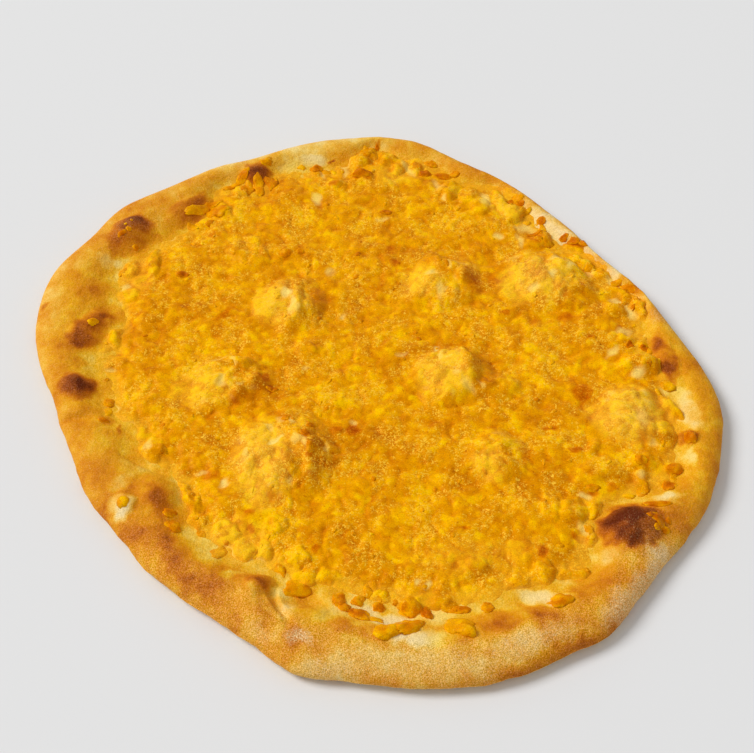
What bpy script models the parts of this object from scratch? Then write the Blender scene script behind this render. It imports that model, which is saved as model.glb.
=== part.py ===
"""Cheese manakish: one oven-baked flatbread, 279 mm across.

A hand-stretched round of dough has puffed into an uneven rim with toasted blisters. Its shallow
well holds one sheet of melted grated cheese, heaped in mounds, and a few lumps of cheese have
run out onto the rim and set there.

Frame: +Z up, the origin on the underside at the middle of the bread's box, +X to the right and
+Y away from someone who looks at it. Every size is in millimetres until a mesh is made.
Headings are degrees anticlockwise from +X.
"""

import bpy
import numpy as np
from mathutils import Vector
from mathutils.bvhtree import BVHTree

MM = 0.001                   # metres in a millimetre
HEADINGS = 120               # spokes of the bread's and the cheese's meshes
GAP = 0.3                    # left between the cheese and the bread that it lies on

# ---- Flatbread -----------------------------------------------------------------------------
# The hand-stretched outline: (heading, distance from the middle).
BREAD_OUTLINE = [
    (3, 134), (9, 129), (20, 123), (27, 120), (34, 117), (44, 118.5), (55, 121.5), (64, 125),
    (74, 130), (83, 137.3), (91, 138), (99, 138.5), (110, 136), (120, 138), (131, 141),
    (139, 145.3), (147, 144.3), (157, 147), (167, 143), (177, 135), (185, 127.5), (190, 125.6),
    (194, 123.8), (206, 123), (218, 121), (228, 122.4), (242, 123.7), (251, 128.3), (258, 135),
    (266, 135.2), (278, 139.4), (291, 143), (299, 143), (306, 144.7), (314, 141.3), (321, 139.7),
    (334, 142), (346, 141.2), (354, 140),
]
# Where the rim rises out of the well, which is also where the cheese ends.
CHEESE_EDGE = [
    (4, 116), (9, 113), (14, 115), (21, 119), (28, 114), (36, 113), (43, 110), (51, 111),
    (58, 117), (64, 120), (70, 117), (78, 124), (84, 125), (90, 130), (95, 122), (101, 119),
    (108, 124), (115, 119), (122, 125), (127, 118), (133, 114), (139, 115), (145, 120),
    (151, 121), (158, 116), (165, 111), (174, 112), (180, 109), (188, 105), (194, 98),
    (202, 96), (210, 91), (218, 90), (227, 98), (237, 98), (245, 97), (254, 97.5), (262, 98),
    (270, 102), (279, 107), (288, 111), (297, 111), (305, 115), (311, 120), (317, 113),
    (325, 107), (331, 115), (338, 126), (345, 122), (352, 121),
]
# The rim is highest about half way across, and higher towards the front left.
RIM_CREST = [(0, 9.5), (45, 9.0), (90, 9.5), (135, 10.5), (180, 10.5), (225, 11.0), (252, 12.0),
             (290, 10.5), (325, 10.5)]
CREST_AT = 0.52              # of the way from the cheese to the outline
RIM_FOOT = 6.2               # height of the bread under the cheese's edge
WELL_FLOOR = 5.0             # height of the bread under the middle of the cheese
WIDEST_AT = 4.0              # height at which the bread is widest
EDGE_LIFT = 7.0              # how far in from the outline the underside lies flat
RIM_RINGS = [0.0, 0.14, 0.28, 0.4, 0.52, 0.66, 0.79, 0.89, 0.96, 1.0]
WELL_RINGS = [0.6, 0.93]     # parts of the cheese edge's distance
UNDER_TURNS = [30, 60, 90]   # degrees round the lower edge

# Blisters and folds of the rim: x, y, length, width, turn, height (a fold is negative).
RIM_SPOTS = [
    (-104, 77, 20, 19, 20, 4.0),      # dark blister, back left
    (-80, 91, 25, 13, 43, 2.5),       # long brown blister
    (-51, 113, 13, 13, 0, 2.5),       # toasted bubble at the back
    (-116, 25, 27, 14, 52, 3.0),      # dark blister, left
    (-118, -6, 16, 15, 0, 3.0),       # dark blister below it
    (-82, -56, 22, 17, 120, 3.5),     # darkest blister, front left
    (-94, -62, 11, 11, 0, 2.5),       # pale blister beside it
    (-44, -98, 16, 13, 0, 3.0),       # knob of the folded rim
    (-22, -110, 15, 13, 0, 1.5),      # bubble in the front pocket
    (98, -74, 27, 29, 0, 5.0),        # big dome, front right
    (119, 5, 12, 30, 8, 2.5),         # swelling behind the right-hand lump
    (124, -31, 9, 9, 0, 2.0),         # small bubble, right
    (-34, -107, 22, 6, 112, -3.0),    # crease of the folded rim
    (-118, -22, 22, 6, 0, -2.0),      # crease at the left
    (-90, -38, 24, 7, 140, -1.5),     # soft crease along the cheese
]

# ---- Cheese --------------------------------------------------------------------------------
CHEESE_TOP = 9.0             # height of the melted sheet between its mounds
CHEESE_LIP = 1.4             # thickness of its edge
CHEESE_SHOULDER = 9.0        # distance over which the edge rises to the sheet
CHEESE_RINGS = 16
CHEESE_SWELL = 0.7           # how far the sheet between the mounds rises and falls
# Mounds of cheese: x, y, length, width, turn, height above the sheet.
MOUNDS = [
    (-30, 39, 20, 22, 0, 5.0), (33, -1, 30, 27, 0, 8.5), (-34, -40, 32, 34, 0, 7.5),
    (-56, -2, 38, 25, 15, 5.5), (31, 54, 32, 22, 10, 5.5), (79, 53, 36, 24, 160, 6.5),
    (50, -40, 20, 22, 0, 5.0), (104, -17, 30, 30, 0, 4.5), (107, 7, 16, 16, 0, 4.5),
    (-3, 122, 10, 10, 0, 3.5), (7, 118, 12, 11, 0, 3.5), (35, 102, 13, 12, 0, 3.0),
    (51, 100, 14, 12, 0, 3.0), (60, 92, 12, 12, 0, 3.5),
]

# ---- Loose lumps: x, y, length, width, turn, height ----------------------------------------
LUMPS = [
    (10, -117, 19, 8, 18, 4.5),
    (33, -116, 11, 9, -20, 4.5),
    (69, -105, 9, 6.5, 10, 3.5),
    (-28, -102, 10, 7, 20, 3.5),
    (-12, -104, 5, 7, 0, 2.8),
    (-4, -110, 8, 5.5, -25, 2.8),
]
LUMP_GAP = 0.4               # left under a lump, which lies on facets
LUMP_UNEVENNESS = 0.07       # how far its outline strays from an oval, as a part of it
LUMP_HEADINGS = 14
LUMP_TOP_RINGS = [0.3, 0.6, 0.83, 0.96]
LUMP_UNDER_RINGS = [0.88, 0.55]

# ---- Colours (linear) and finish -----------------------------------------------------------
CRUST = ((0.68, 0.33, 0.10), 0.7)
CHEESE = ((0.82, 0.37, 0.012), 0.35)
LUMP = ((0.85, 0.33, 0.01), 0.3)


def around(points, heading):
    """A closed smooth curve through (heading, value) points: a cubic between neighbours, whose
    slopes are those of the chords across each point."""
    known, value = np.array(points, float).T
    known = np.concatenate([known[-2:] - 360, known, known[:2] + 360])
    value = np.concatenate([value[-2:], value, value[:2]])
    slope = np.gradient(value, known)
    heading = np.mod(heading, 360)
    i = np.clip(np.searchsorted(known, heading, side="right") - 1, 1, len(known) - 3)
    step = known[i + 1] - known[i]
    t = (heading - known[i]) / step
    start = (1 + 2 * t) * (1 - t) ** 2 * value[i] + t * (1 - t) ** 2 * step * slope[i]
    end = t * t * (3 - 2 * t) * value[i + 1] + t * t * (t - 1) * step * slope[i + 1]
    return start + end


def domes(spots, x, y):
    """The height that oval domes add at x, y: height * (1 - d * d) ** 1.5, where d is the
    distance from a dome's middle as a part of its half length and half width."""
    total = np.zeros_like(x)
    for middle_x, middle_y, length, width, turn, height in spots:
        c, s = np.cos(np.radians(turn)), np.sin(np.radians(turn))
        along = ((x - middle_x) * c + (y - middle_y) * s) / (0.5 * length)
        across = ((y - middle_y) * c - (x - middle_x) * s) / (0.5 * width)
        inside = np.clip(1 - along ** 2 - across ** 2, 0, None)
        total += height * inside ** 1.5
    return total


def swell(x, y):
    """Slow unevenness of the melted sheet, from -1 to 1: two crossed waves, each bent by the
    other direction."""
    first = np.sin(x / 8.1 + 1.1 * np.sin(y / 10.7))
    second = np.sin(y / 7.3 + 1.3 * np.sin(x / 12.1))
    return 0.5 * (first + second)


def spokes():
    """Headings of the mesh's spokes, with the outline and the cheese edge on each."""
    heading = np.arange(HEADINGS) * 360 / HEADINGS
    return heading, around(BREAD_OUTLINE, heading), around(CHEESE_EDGE, heading)


def ring(heading, distance, height):
    """One ring of points; height is a number or one for each spoke."""
    angle = np.radians(heading)
    x, y = distance * np.cos(angle), distance * np.sin(angle)
    return np.stack([x, y, np.broadcast_to(height, x.shape)], axis=1)


def rim_height(heading, part):
    """Height of the plain rim, from the cheese (part 0) to the outline (part 1): a smooth rise
    to the crest, then a quarter ellipse down to the widest point."""
    crest = around(RIM_CREST, heading)
    if part < CREST_AT:
        rise = part / CREST_AT
        return RIM_FOOT + (crest - RIM_FOOT) * rise * rise * (3 - 2 * rise)
    fall = (part - CREST_AT) / (1 - CREST_AT)
    return WIDEST_AT + (crest - WIDEST_AT) * np.sqrt(1 - fall * fall)


def bread_rings():
    """Rings from the middle of the well out over the rim and back to the middle underneath."""
    heading, outline, edge = spokes()
    rings = [ring(heading, part * edge, WELL_FLOOR) for part in WELL_RINGS]
    for part in RIM_RINGS:
        distance = edge + part * (outline - edge)
        points = ring(heading, distance, rim_height(heading, part))
        spots = domes(RIM_SPOTS, points[:, 0], points[:, 1])
        points[:, 2] += spots * np.sqrt(1 - part ** 4)
        rings.append(points)
    for turn in np.radians(UNDER_TURNS):
        inset = EDGE_LIFT * (1 - np.cos(turn))
        rings.append(ring(heading, outline - inset, WIDEST_AT * (1 - np.sin(turn))))
    return rings


def cheese_rings(bread):
    """Rings from the middle of the cheese's top out to its lip and back along its underside,
    which is the bread's own surface lifted by the gap."""
    heading, _, edge = spokes()
    rings = []
    reach = edge - 1.2
    for i in range(1, CHEESE_RINGS + 1):
        distance = reach * i / CHEESE_RINGS
        points = ring(heading, distance, 0.0)
        inset = edge - distance
        rise = np.clip(inset / CHEESE_SHOULDER, 0, 1)
        lip = RIM_FOOT + GAP + CHEESE_LIP
        sheet = lip + (CHEESE_TOP - lip) * np.sqrt(rise)
        relief = domes(MOUNDS, points[:, 0], points[:, 1])
        relief += CHEESE_SWELL * swell(points[:, 0], points[:, 1])
        points[:, 2] = sheet + relief * np.clip(inset / 4.0, 0, 1)
        rings.append(points)
    for under in (bread[2], bread[1], bread[0]):
        rings.append(under + np.array([0, 0, GAP]))
    return rings


def lump_rings(spot, bread_tree):
    """Rings of one lump: an oval pebble whose underside follows the bread below it."""
    middle_x, middle_y, length, width, turn, height = spot
    angle = np.arange(LUMP_HEADINGS) * 2 * np.pi / LUMP_HEADINGS
    bulge = 1 + LUMP_UNEVENNESS * np.cos(3 * angle + middle_x)
    c, s = np.cos(np.radians(turn)), np.sin(np.radians(turn))

    def place(part):
        along = 0.5 * length * part * bulge * np.cos(angle)
        across = 0.5 * width * part * bulge * np.sin(angle)
        return middle_x + along * c - across * s, middle_y + along * s + across * c

    def layer(part, lift):
        x, y = place(part)
        ground = np.array([ground_at(bread_tree, *point) for point in zip(x, y)])
        return np.stack([x, y, ground + LUMP_GAP + lift], axis=1)

    rings = [layer(part, 0.5 + (height - 0.5) * np.sqrt(1 - part * part))
             for part in LUMP_TOP_RINGS]
    rings += [layer(1.0, 0.3)]
    rings += [layer(part, 0.0) for part in LUMP_UNDER_RINGS]
    top = np.array([middle_x, middle_y, ground_at(bread_tree, middle_x, middle_y) + LUMP_GAP
                    + height])
    under = top - np.array([0, 0, height])
    return rings, top, under


def ground_at(tree, x, y):
    """Height of the bread's surface straight below a point."""
    return tree.ray_cast(Vector((x, y, 100.0)), Vector((0, 0, -1)))[0].z


def spread(points):
    """Size of a ring seen from above."""
    return np.ptp(points[:, 0])


def closed_surface(rings, first, last):
    """Points and faces of a closed body: quads between neighbouring rings, with a fan round the
    first and the last point. Each quad is cut from its smaller ring outwards and onwards, so
    that a layer and what it lies on have the same facets."""
    count = len(rings[0])
    points = np.concatenate([first[None]] + rings + [last[None]])
    here = np.arange(count)
    there = np.roll(here, -1)
    faces = [np.stack([np.zeros(count, int), 1 + here, 1 + there], axis=1)]
    for i in range(len(rings) - 1):
        a, b = 1 + i * count, 1 + (i + 1) * count
        if spread(rings[i + 1]) > spread(rings[i]):
            faces.append(np.stack([a + here, b + here, b + there], axis=1))
            faces.append(np.stack([a + here, b + there, a + there], axis=1))
        else:
            faces.append(np.stack([a + here, b + here, a + there], axis=1))
            faces.append(np.stack([a + there, b + here, b + there], axis=1))
    tail = 1 + (len(rings) - 1) * count
    end = np.full(count, len(points) - 1)
    faces.append(np.stack([tail + here, end, tail + there], axis=1))
    return points, np.concatenate(faces)


def material(name, colour, roughness):
    made = bpy.data.materials.new(name)
    made.use_nodes = True
    shader = made.node_tree.nodes["Principled BSDF"]
    shader.inputs["Base Color"].default_value = (*colour, 1)
    shader.inputs["Roughness"].default_value = roughness
    shader.inputs["Metallic"].default_value = 0.0
    made.diffuse_color = (*colour, 1)
    return made


def solid(name, points, faces, finish):
    """An object from points in millimetres, shaded smooth as everything baked is."""
    mesh = bpy.data.meshes.new(name)
    mesh.from_pydata((points * MM).tolist(), [], faces.tolist())
    mesh.shade_smooth()
    mesh.materials.append(finish)
    made = bpy.data.objects.new(name, mesh)
    bpy.context.scene.collection.objects.link(made)
    return made


def build():
    for old in list(bpy.data.objects):
        bpy.data.objects.remove(old)

    bread = bread_rings()
    well = np.array([0, 0, WELL_FLOOR])
    bread_points, bread_faces = closed_surface(bread, well, np.zeros(3))
    solid("flatbread", bread_points, bread_faces, material("baked_crust", *CRUST))

    cheese = cheese_rings(bread)
    cheese_middle = np.array([0, 0, cheese[0][:, 2].mean()])
    cheese_points, cheese_faces = closed_surface(cheese, cheese_middle, well + [0, 0, GAP])
    solid("cheese_layer", cheese_points, cheese_faces, material("melted_cheese", *CHEESE))

    tree = BVHTree.FromPolygons(bread_points.tolist(), bread_faces.tolist())
    finish = material("cheese_lumps", *LUMP)
    for number, spot in enumerate(LUMPS, start=1):
        rings, top, under = lump_rings(spot, tree)
        points, faces = closed_surface(rings, top, under)
        solid(f"cheese_lump_{number}", points, faces, finish)


build()
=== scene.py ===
"""Cheese manakish: the looks of one oven-baked flatbread with melted grated cheese.

Sizes are in millimetres and headings in degrees anticlockwise from +X, until a mesh is made.
"""

import bpy
import numpy as np
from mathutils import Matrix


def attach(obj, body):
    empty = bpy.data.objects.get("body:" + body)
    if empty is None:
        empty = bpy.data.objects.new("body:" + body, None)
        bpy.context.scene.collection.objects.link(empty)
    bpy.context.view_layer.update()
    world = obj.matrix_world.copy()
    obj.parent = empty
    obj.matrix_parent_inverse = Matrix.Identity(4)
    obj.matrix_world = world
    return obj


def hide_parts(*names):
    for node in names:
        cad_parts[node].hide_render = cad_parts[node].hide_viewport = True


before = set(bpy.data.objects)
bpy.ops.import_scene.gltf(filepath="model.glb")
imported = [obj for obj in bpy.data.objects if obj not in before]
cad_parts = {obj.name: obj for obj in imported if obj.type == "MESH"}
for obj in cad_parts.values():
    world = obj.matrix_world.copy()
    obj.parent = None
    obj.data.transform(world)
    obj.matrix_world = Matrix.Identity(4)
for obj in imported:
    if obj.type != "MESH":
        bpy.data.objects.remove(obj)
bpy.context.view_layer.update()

# ---- Camera --------------------------------------------------------------------------------
# A long lens, 52 degrees above the table, aimed a little behind and to the right of the middle
# of the bread, as far away as makes a millimetre 2.45 pixels wide in a picture of 754 x 753.
MM = 0.001
LENS = 85.0
SENSOR = 36.0
CAMERA_RISE = np.radians(52.0)
PICTURE_WIDTH = 754
PIXELS_PER_MM = 2.45
AIM = np.array([1.9, 6.4, 0.0])

distance = LENS / SENSOR * PICTURE_WIDTH / PIXELS_PER_MM
away = np.array([0.0, -np.cos(CAMERA_RISE), np.sin(CAMERA_RISE)])
camera_data = bpy.data.cameras.new("camera")
camera_data.lens = LENS
camera_data.sensor_width = SENSOR
camera_data.clip_start = 0.01
camera = bpy.data.objects.new("camera", camera_data)
camera.location = (AIM + distance * away) * MM
camera.rotation_euler = (np.pi / 2 - CAMERA_RISE, 0, 0)
bpy.context.scene.collection.objects.link(camera)
bpy.context.scene.camera = camera
bpy.context.scene.view_settings.view_transform = "Standard"

# ---- Table and light -----------------------------------------------------------------------
# A seamless sheet of pale matt board, lit by an even white room and by one large soft lamp, high
# on the left and a little behind, which shades the right side of each mound and of the rim.
BOARD = "#e8e8e8"
BOARD_SIZE = 30000.0
BOARD_DROP = 0.05            # kept below the bread, so that the two don't share a plane
ROOM_LIGHT = 0.46
LAMP_SIZE = 6.6              # metres
LAMP_AWAY = 14.0             # metres from the middle of the bread
LAMP_HEADING = np.radians(166.0)
LAMP_RISE = np.radians(46.0)
LAMP_POWER = 1380.0


def linear(hex_colour):
    """The linear RGBA of an sRGB colour such as "#e0a040"."""
    srgb = np.array([int(hex_colour[i:i + 2], 16) for i in (1, 3, 5)]) / 255
    value = np.where(srgb <= 0.04045, srgb / 12.92, ((srgb + 0.055) / 1.055) ** 2.4)
    return (*value.tolist(), 1.0)


def add(tree, kind, settings=None, **links):
    """Adds a shader node. settings holds its properties, a ramp's stops, and the values of its
    inputs by name or number; links holds the node that feeds each input, whose name has _ for a
    space, or i before its number."""
    made = tree.nodes.new("ShaderNode" + kind)
    for name, value in (settings or {}).items():
        if name == "stops":
            for _ in value[2:]:
                made.color_ramp.elements.new(1.0)
            for element, (place, colour) in zip(made.color_ramp.elements, value):
                element.position = place
                element.color = linear(colour)
        elif isinstance(name, int) or name in made.inputs:
            made.inputs[name].default_value = value
        else:
            setattr(made, name, value)
    for name, source in links.items():
        key = int(name[1:]) if name[1:].isdigit() else name.replace("_", " ")
        if isinstance(source, bpy.types.Node):
            source = next(socket for socket in source.outputs if socket.enabled)
        tree.links.new(made.inputs[key], source)
    return made


def new_material(name):
    """A material with only its output node, and its node tree."""
    made = bpy.data.materials.new(name)
    made.use_nodes = True
    made.node_tree.nodes.clear()
    return made, made.node_tree


board_mesh = bpy.data.meshes.new("board")
half = BOARD_SIZE / 2 * MM
board_mesh.from_pydata([(-half, -half, -BOARD_DROP * MM), (half, -half, -BOARD_DROP * MM),
                        (half, half, -BOARD_DROP * MM), (-half, half, -BOARD_DROP * MM)],
                       [], [(0, 1, 2, 3)])
board = bpy.data.objects.new("board", board_mesh)
bpy.context.scene.collection.objects.link(board)
board_paint, tree = new_material("matt_board")
board_shader = add(tree, "BsdfPrincipled", {
    "Base Color": linear(BOARD), "Roughness": 0.9, "Specular IOR Level": 0.1})
add(tree, "OutputMaterial", Surface=board_shader)
board_mesh.materials.append(board_paint)

lamp_data = bpy.data.lights.new("lamp", "AREA")
lamp_data.shape = "DISK"
lamp_data.size = LAMP_SIZE
lamp_data.energy = LAMP_POWER
lamp = bpy.data.objects.new("lamp", lamp_data)
lamp.location = (LAMP_AWAY * np.cos(LAMP_RISE) * np.cos(LAMP_HEADING),
                 LAMP_AWAY * np.cos(LAMP_RISE) * np.sin(LAMP_HEADING),
                 LAMP_AWAY * np.sin(LAMP_RISE))
lamp.rotation_euler = (0, np.pi / 2 - LAMP_RISE, LAMP_HEADING)
bpy.context.scene.collection.objects.link(lamp)
room = bpy.data.worlds.new("room")
bpy.context.scene.world = room
room.use_nodes = True
room.node_tree.nodes["Background"].inputs["Color"].default_value = (1, 1, 1, 1)
room.node_tree.nodes["Background"].inputs["Strength"].default_value = ROOM_LIGHT

# ---- Flatbread -----------------------------------------------------------------------------
# Wheat dough stretched by hand and baked on a hot stone. The rim has puffed up, folded at the
# front left and blistered; its thin places have toasted, fat from the cheese has stained its
# inner side amber, and raw flour still clings at the front.

# By heading: the outline's and the cheese's distance from the middle, and the crest's height.
BREAD_OUTLINE = [
    (3, 134), (9, 129), (20, 123), (27, 120), (34, 117), (44, 118.5), (55, 121.5), (64, 125),
    (74, 130), (83, 137.3), (91, 138), (99, 138.5), (110, 136), (120, 138), (131, 141),
    (139, 145.3), (147, 144.3), (157, 147), (167, 143), (177, 135), (185, 127.5), (190, 125.6),
    (194, 123.8), (206, 123), (218, 121), (228, 122.4), (242, 123.7), (251, 128.3), (258, 135),
    (266, 135.2), (278, 139.4), (291, 143), (299, 143), (306, 144.7), (314, 141.3), (321, 139.7),
    (334, 142), (346, 141.2), (354, 140),
]
CHEESE_EDGE = [
    (4, 116), (9, 113), (14, 115), (21, 119), (28, 114), (36, 113), (43, 110), (51, 111),
    (58, 117), (64, 120), (70, 117), (78, 124), (84, 125), (90, 130), (95, 122), (101, 119),
    (108, 124), (115, 119), (122, 125), (127, 118), (133, 114), (139, 115), (145, 120),
    (151, 121), (158, 116), (165, 111), (174, 112), (180, 109), (188, 105), (194, 98),
    (202, 96), (210, 91), (218, 90), (227, 98), (237, 98), (245, 97), (254, 97.5), (262, 98),
    (270, 102), (279, 107), (288, 111), (297, 111), (305, 115), (311, 120), (317, 113),
    (325, 107), (331, 115), (338, 126), (345, 122), (352, 121),
]
RIM_CREST = [(0, 9.5), (45, 9.0), (90, 9.5), (135, 10.2), (180, 10.0), (225, 10.5), (252, 12.0),
             (290, 10.5), (325, 10.5)]
CREST_AT = 0.57              # from the cheese's edge, 0, to the outline, 1
RIM_FOOT = 6.2               # height of the bread beside the cheese
WELL_FLOOR = 5.0
WIDEST_AT = 4.0              # height at which the bread is widest
EDGE_LIFT = 7.0              # how far the flat underside stays inside the outline
# Blisters and folds: x, y, length, width, turn, height.
RIM_SPOTS = [
    (-104, 77, 20, 19, 20, 4.0), (-80, 91, 25, 13, 43, 2.5), (-51, 113, 13, 13, 0, 2.5),
    (-116, 25, 27, 14, 52, 3.0), (-118, -6, 16, 15, 0, 3.0), (-82, -56, 22, 17, 120, 3.5),
    (-94, -62, 11, 11, 0, 2.5), (-44, -98, 16, 13, 0, 1.5), (-22, -110, 15, 13, 0, 1.5),
    (98, -74, 27, 29, 0, 2.5), (119, 5, 12, 30, 8, 2.5), (124, -31, 9, 9, 0, 2.0),
    (-34, -107, 22, 6, 112, -3.0), (-118, -22, 22, 6, 0, -2.0), (-90, -42, 26, 5, 155, -1.5),
    (-25, -104, 24, 14, -15, -2.4), (6, -110, 46, 12, 3, -1.6), (56, -104, 34, 11, 10, -1.4),
    (-44, -108, 12, 22, 20, 1.4),
]
# The blister at the front right and the tip of the fold, which stand up steeply.
RIM_DOMES = [(98, -72.5, 23, 19, 0, 3.0), (-41, -98, 12, 10, 20, 2.6)]
# The plain rim beside the cheese, on the crest and at the outer edge: how far it has toasted,
# from 0, raw, to 1, charred, how far fat has soaked in, and how much raw flour still lies on it.
RIM_TOAST = (0.20, 0.36, 0.36)
RIM_OIL = (1.0, 0.75, 0.4)
RIM_FLOUR = (0.0, 0.2, 0.25)
# Toasted places, and below zero places that stayed pale: x, y, length, width, turn, strength.
# The broad sides come first: the front left flank and the outer edge at the back right are
# browner, and the others are paler; the right flank's paler colour is partly painted light that
# offsets the shade it lies in.
TOAST_MARKS = [
    (-92, -78, 120, 36, -50, 0.15), (134, -42, 96, 30, -105, -0.03), (93, 83, 116, 20, -48, 0.26),
    (-134, 45, 80, 24, 70, -0.08), (15, -122, 120, 26, 0, -0.08), (8, -108, 80, 16, 2, -0.16),
    (-42, 130, 150, 30, 12, -0.24), (84, 74, 92, 14, -48, -0.30), (-82, -92, 90, 12, -42, -0.16),
    (10, -132, 110, 12, 0, -0.14), (-114, -44, 44, 24, -65, -0.08), (-103, 76, 26, 20, 20, 0.38),
    (-99, 82, 13, 10, -30, 0.16), (-108, 70, 10, 8, 0, 0.10), (-80, 90, 30, 13, 43, 0.42),
    (-74, 97, 10, 8, 40, 0.16), (-51, 113, 13, 15, 0, 0.54), (-115, 26, 32, 14, 52, 0.38),
    (-119, 19, 12, 12, 52, 0.16), (-109, 33, 9, 7, 40, 0.14), (-118, -6, 16, 15, 0, 0.40),
    (-114, -4, 9, 9, 0, 0.20), (-119, 6, 8, 6, 0, 0.18), (-81, -60, 20, 14, 115, 0.16),
    (-80, -62, 12, 10, 120, 0.18), (-106, -22, 7, 5, 0, 0.20), (-99, -26, 3, 6, 0, 0.30),
    (-137, 37, 5, 5, 0, 0.3), (-126, 53, 9, 6, 0, 0.12), (-113, 46, 10, 12, 0, 0.08),
    (-77, -80, 8, 11, -20, 0.16), (-70, -90, 14, 12, 0, 0.06), (-61, -99, 24, 10, -15, 0.18),
    (-41, -97, 11, 9, 0, 0.34), (-50, -114, 6, 9, 0, 0.18), (-39, -103, 8, 14, 20, 0.20),
    (-40, -113, 12, 14, 0, 0.08), (-28, -121, 8, 12, 20, 0.20), (-9, -117, 16, 7, -25, 0.20),
    (2, -123, 16, 7, -10, 0.14), (45, -114, 13, 13, -20, 0.22), (57, -108, 12, 6, -30, 0.14),
    (64, -111, 15, 8, 0, 0.18), (80, -101, 20, 10, 30, 0.14), (74, -125, 72, 11, 23, 0.20),
    (77, -119, 12, 10, 0, -0.12), (88, -114, 36, 8, 30, 0.18), (101, -82, 13, 10, 0, 0.25),
    (91, -113, 16, 6, 32, 0.10), (50, -133, 26, 7, 12, 0.10), (98, -72, 27, 23, 0, 0.58),
    (95, -68, 20, 14, 0, 0.20), (91, -75, 12, 14, 0, 0.14), (115, -68, 12, 16, 0, 0.15),
    (112, 18, 18, 7, -20, 0.22), (112, 50, 50, 9, -52, 0.14), (118, 7, 9, 26, 12, 0.38),
    (119, 0, 8, 13, 0, 0.12), (124, -31, 10, 9, 0, 0.50), (109, 48, 9, 5, -40, 0.18),
    (86, 73, 12, 6, -30, 0.16), (73, 86, 6, 5, 0, 0.18), (2, 131, 3, 3, 0, 0.45),
    (-18, 122, 2, 2, 0, 0.5), (64, 97, 8, 5, 0, 0.2), (-95, -64, 12, 11, 0, -0.52),
    (-96, -53, 14, 9, 30, -0.20), (124, -16, 10, 26, 12, -0.22), (-112, 62, 12, 7, 0, -0.22),
    (-130, 36, 9, 20, 0, -0.10), (16, -121, 22, 9, 0, -0.26), (56, -119, 14, 12, 0, -0.20),
    (-52, -94, 12, 3, 10, -0.30), (-33, -106, 14, 17, 20, -0.25), (-62, -83, 12, 18, 30, -0.12),
    (107, -83, 9, 9, 0, -0.25), (88, -85, 8, 12, 0, -0.12), (64, -103, 24, 9, -15, -0.38),
    (-26, 122, 18, 5, 8, -0.16), (-88, 82, 16, 6, 30, -0.16), (-2, -108, 16, 5, -30, -0.32),
    (124, -40, 6, 10, 0, -0.3), (113, -60, 14, 7, -5, -0.3), (104, 24, 10, 6, 0, -0.2),
    (70, 82, 14, 8, -20, -0.2), (-120, 62, 10, 14, -40, -0.12), (28, -120, 14, 7, 0, -0.12),
    (8, -112, 20, 4, 10, -0.2), (116, -4, 6, 16, 0, -0.2),
]
# Raw flour, and below zero places without it: x, y, length, width, turn, strength.
FLOUR_MARKS = [
    (14, -131, 84, 14, -3, 0.30), (36, -126, 44, 12, 8, 0.15), (60, -121, 40, 11, 22, 0.45),
    (96, -102, 40, 13, 46, 0.8), (108, -88, 20, 15, 60, 0.6), (-26, -121, 12, 8, -20, 0.8),
    (104, -76, 22, 14, 0, 0.08), (-17, -133, 26, 8, -5, 0.35), (-40, -118, 14, 5, -25, 0.3),
    (120, 32, 16, 12, 40, 0.45), (-104, 77, 18, 15, 20, 0.12), (-58, 118, 10, 8, 20, 0.2),
    (70, -128, 30, 4, 22, 0.4), (107, -83, 8, 7, 0, 0.5), (74, -124, 66, 9, 23, -0.5),
    (130, -10, 50, 110, 0, -0.3),
]
# Amber stains, and below zero places that stayed dry: x, y, length, width, turn, strength. The
# left and the right side are the oiliest.
OIL_MARKS = [
    (-112, 5, 60, 130, 0, 0.4), (74, -124, 72, 12, 23, 0.7), (-80, -80, 90, 40, -50, 0.4),
    (128, -20, 60, 130, 0, 0.55), (84, 74, 92, 14, -48, -0.6), (-124, 51, 14, 12, 0, 0.3),
    (-113, 46, 12, 14, 0, 0.5), (-100, -33, 18, 16, 0, 0.2), (-20, -112, 18, 12, -20, 0.4),
    (28, -121, 18, 8, 0, 0.5), (80, -103, 24, 14, 20, 0.5), (52, -112, 44, 12, 8, 0.5),
    (86, -97, 26, 14, 40, 0.5), (125, -45, 12, 26, 0, 0.3), (120, -75, 18, 20, 0, 0.3),
    (-88, 66, 10, 14, 0, 0.4), (107, 50, 12, 6, -40, 0.4), (125, -17, 12, 30, 12, -0.9),
    (-95, -64, 14, 13, 0, -0.7), (14, -121, 24, 9, 0, -0.6), (107, -83, 8, 8, 0, -0.7),
    (-112, 62, 13, 8, 0, -0.5), (-96, -53, 13, 8, 30, -0.4), (64, -103, 24, 9, -15, -0.5),
    (-2, -108, 16, 5, -30, -0.5), (-31, -109, 8, 10, 20, -0.5), (124, -40, 8, 12, 0, -0.8),
    (113, -60, 14, 7, -5, -0.5), (56, -118, 14, 12, 0, -0.4), (88, -85, 8, 12, 0, -0.5),
    (-26, 122, 18, 5, 8, -0.3), (8, -112, 18, 4, 10, -0.6),
]
# Unevenness of the bread, and of its toasting: strength, size and seed of each noise.
BREAD_WAVES = [(0.55, 21, 3), (0.32, 6.5, 4), (0.15, 2.4, 5)]
TOAST_WAVES = [(0.07, 23, 15), (0.16, 10, 16), (0.07, 3.4, 20)]
LATTICE = 256                # cells after which a noise repeats
OUTLINE_STEPS = 900
INNERMOST = 0.002            # the first ring's share of the way to the cheese's edge
FINE_FROM = 0.7              # beyond this share of that way the rings lie close together
WELL_RINGS, FINE_RINGS, RISE_RINGS, FALL_RINGS, TUCK_RINGS, UNDER_RINGS = 6, 26, 25, 22, 9, 14
UNDER_HOLLOW = 0.5           # depth of the hollows in the underside
TOP_SHARE = 0.41             # radius of the top's disc in the bake's square, and
UNDER_SHARE = 0.17           # of the underside's


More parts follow.
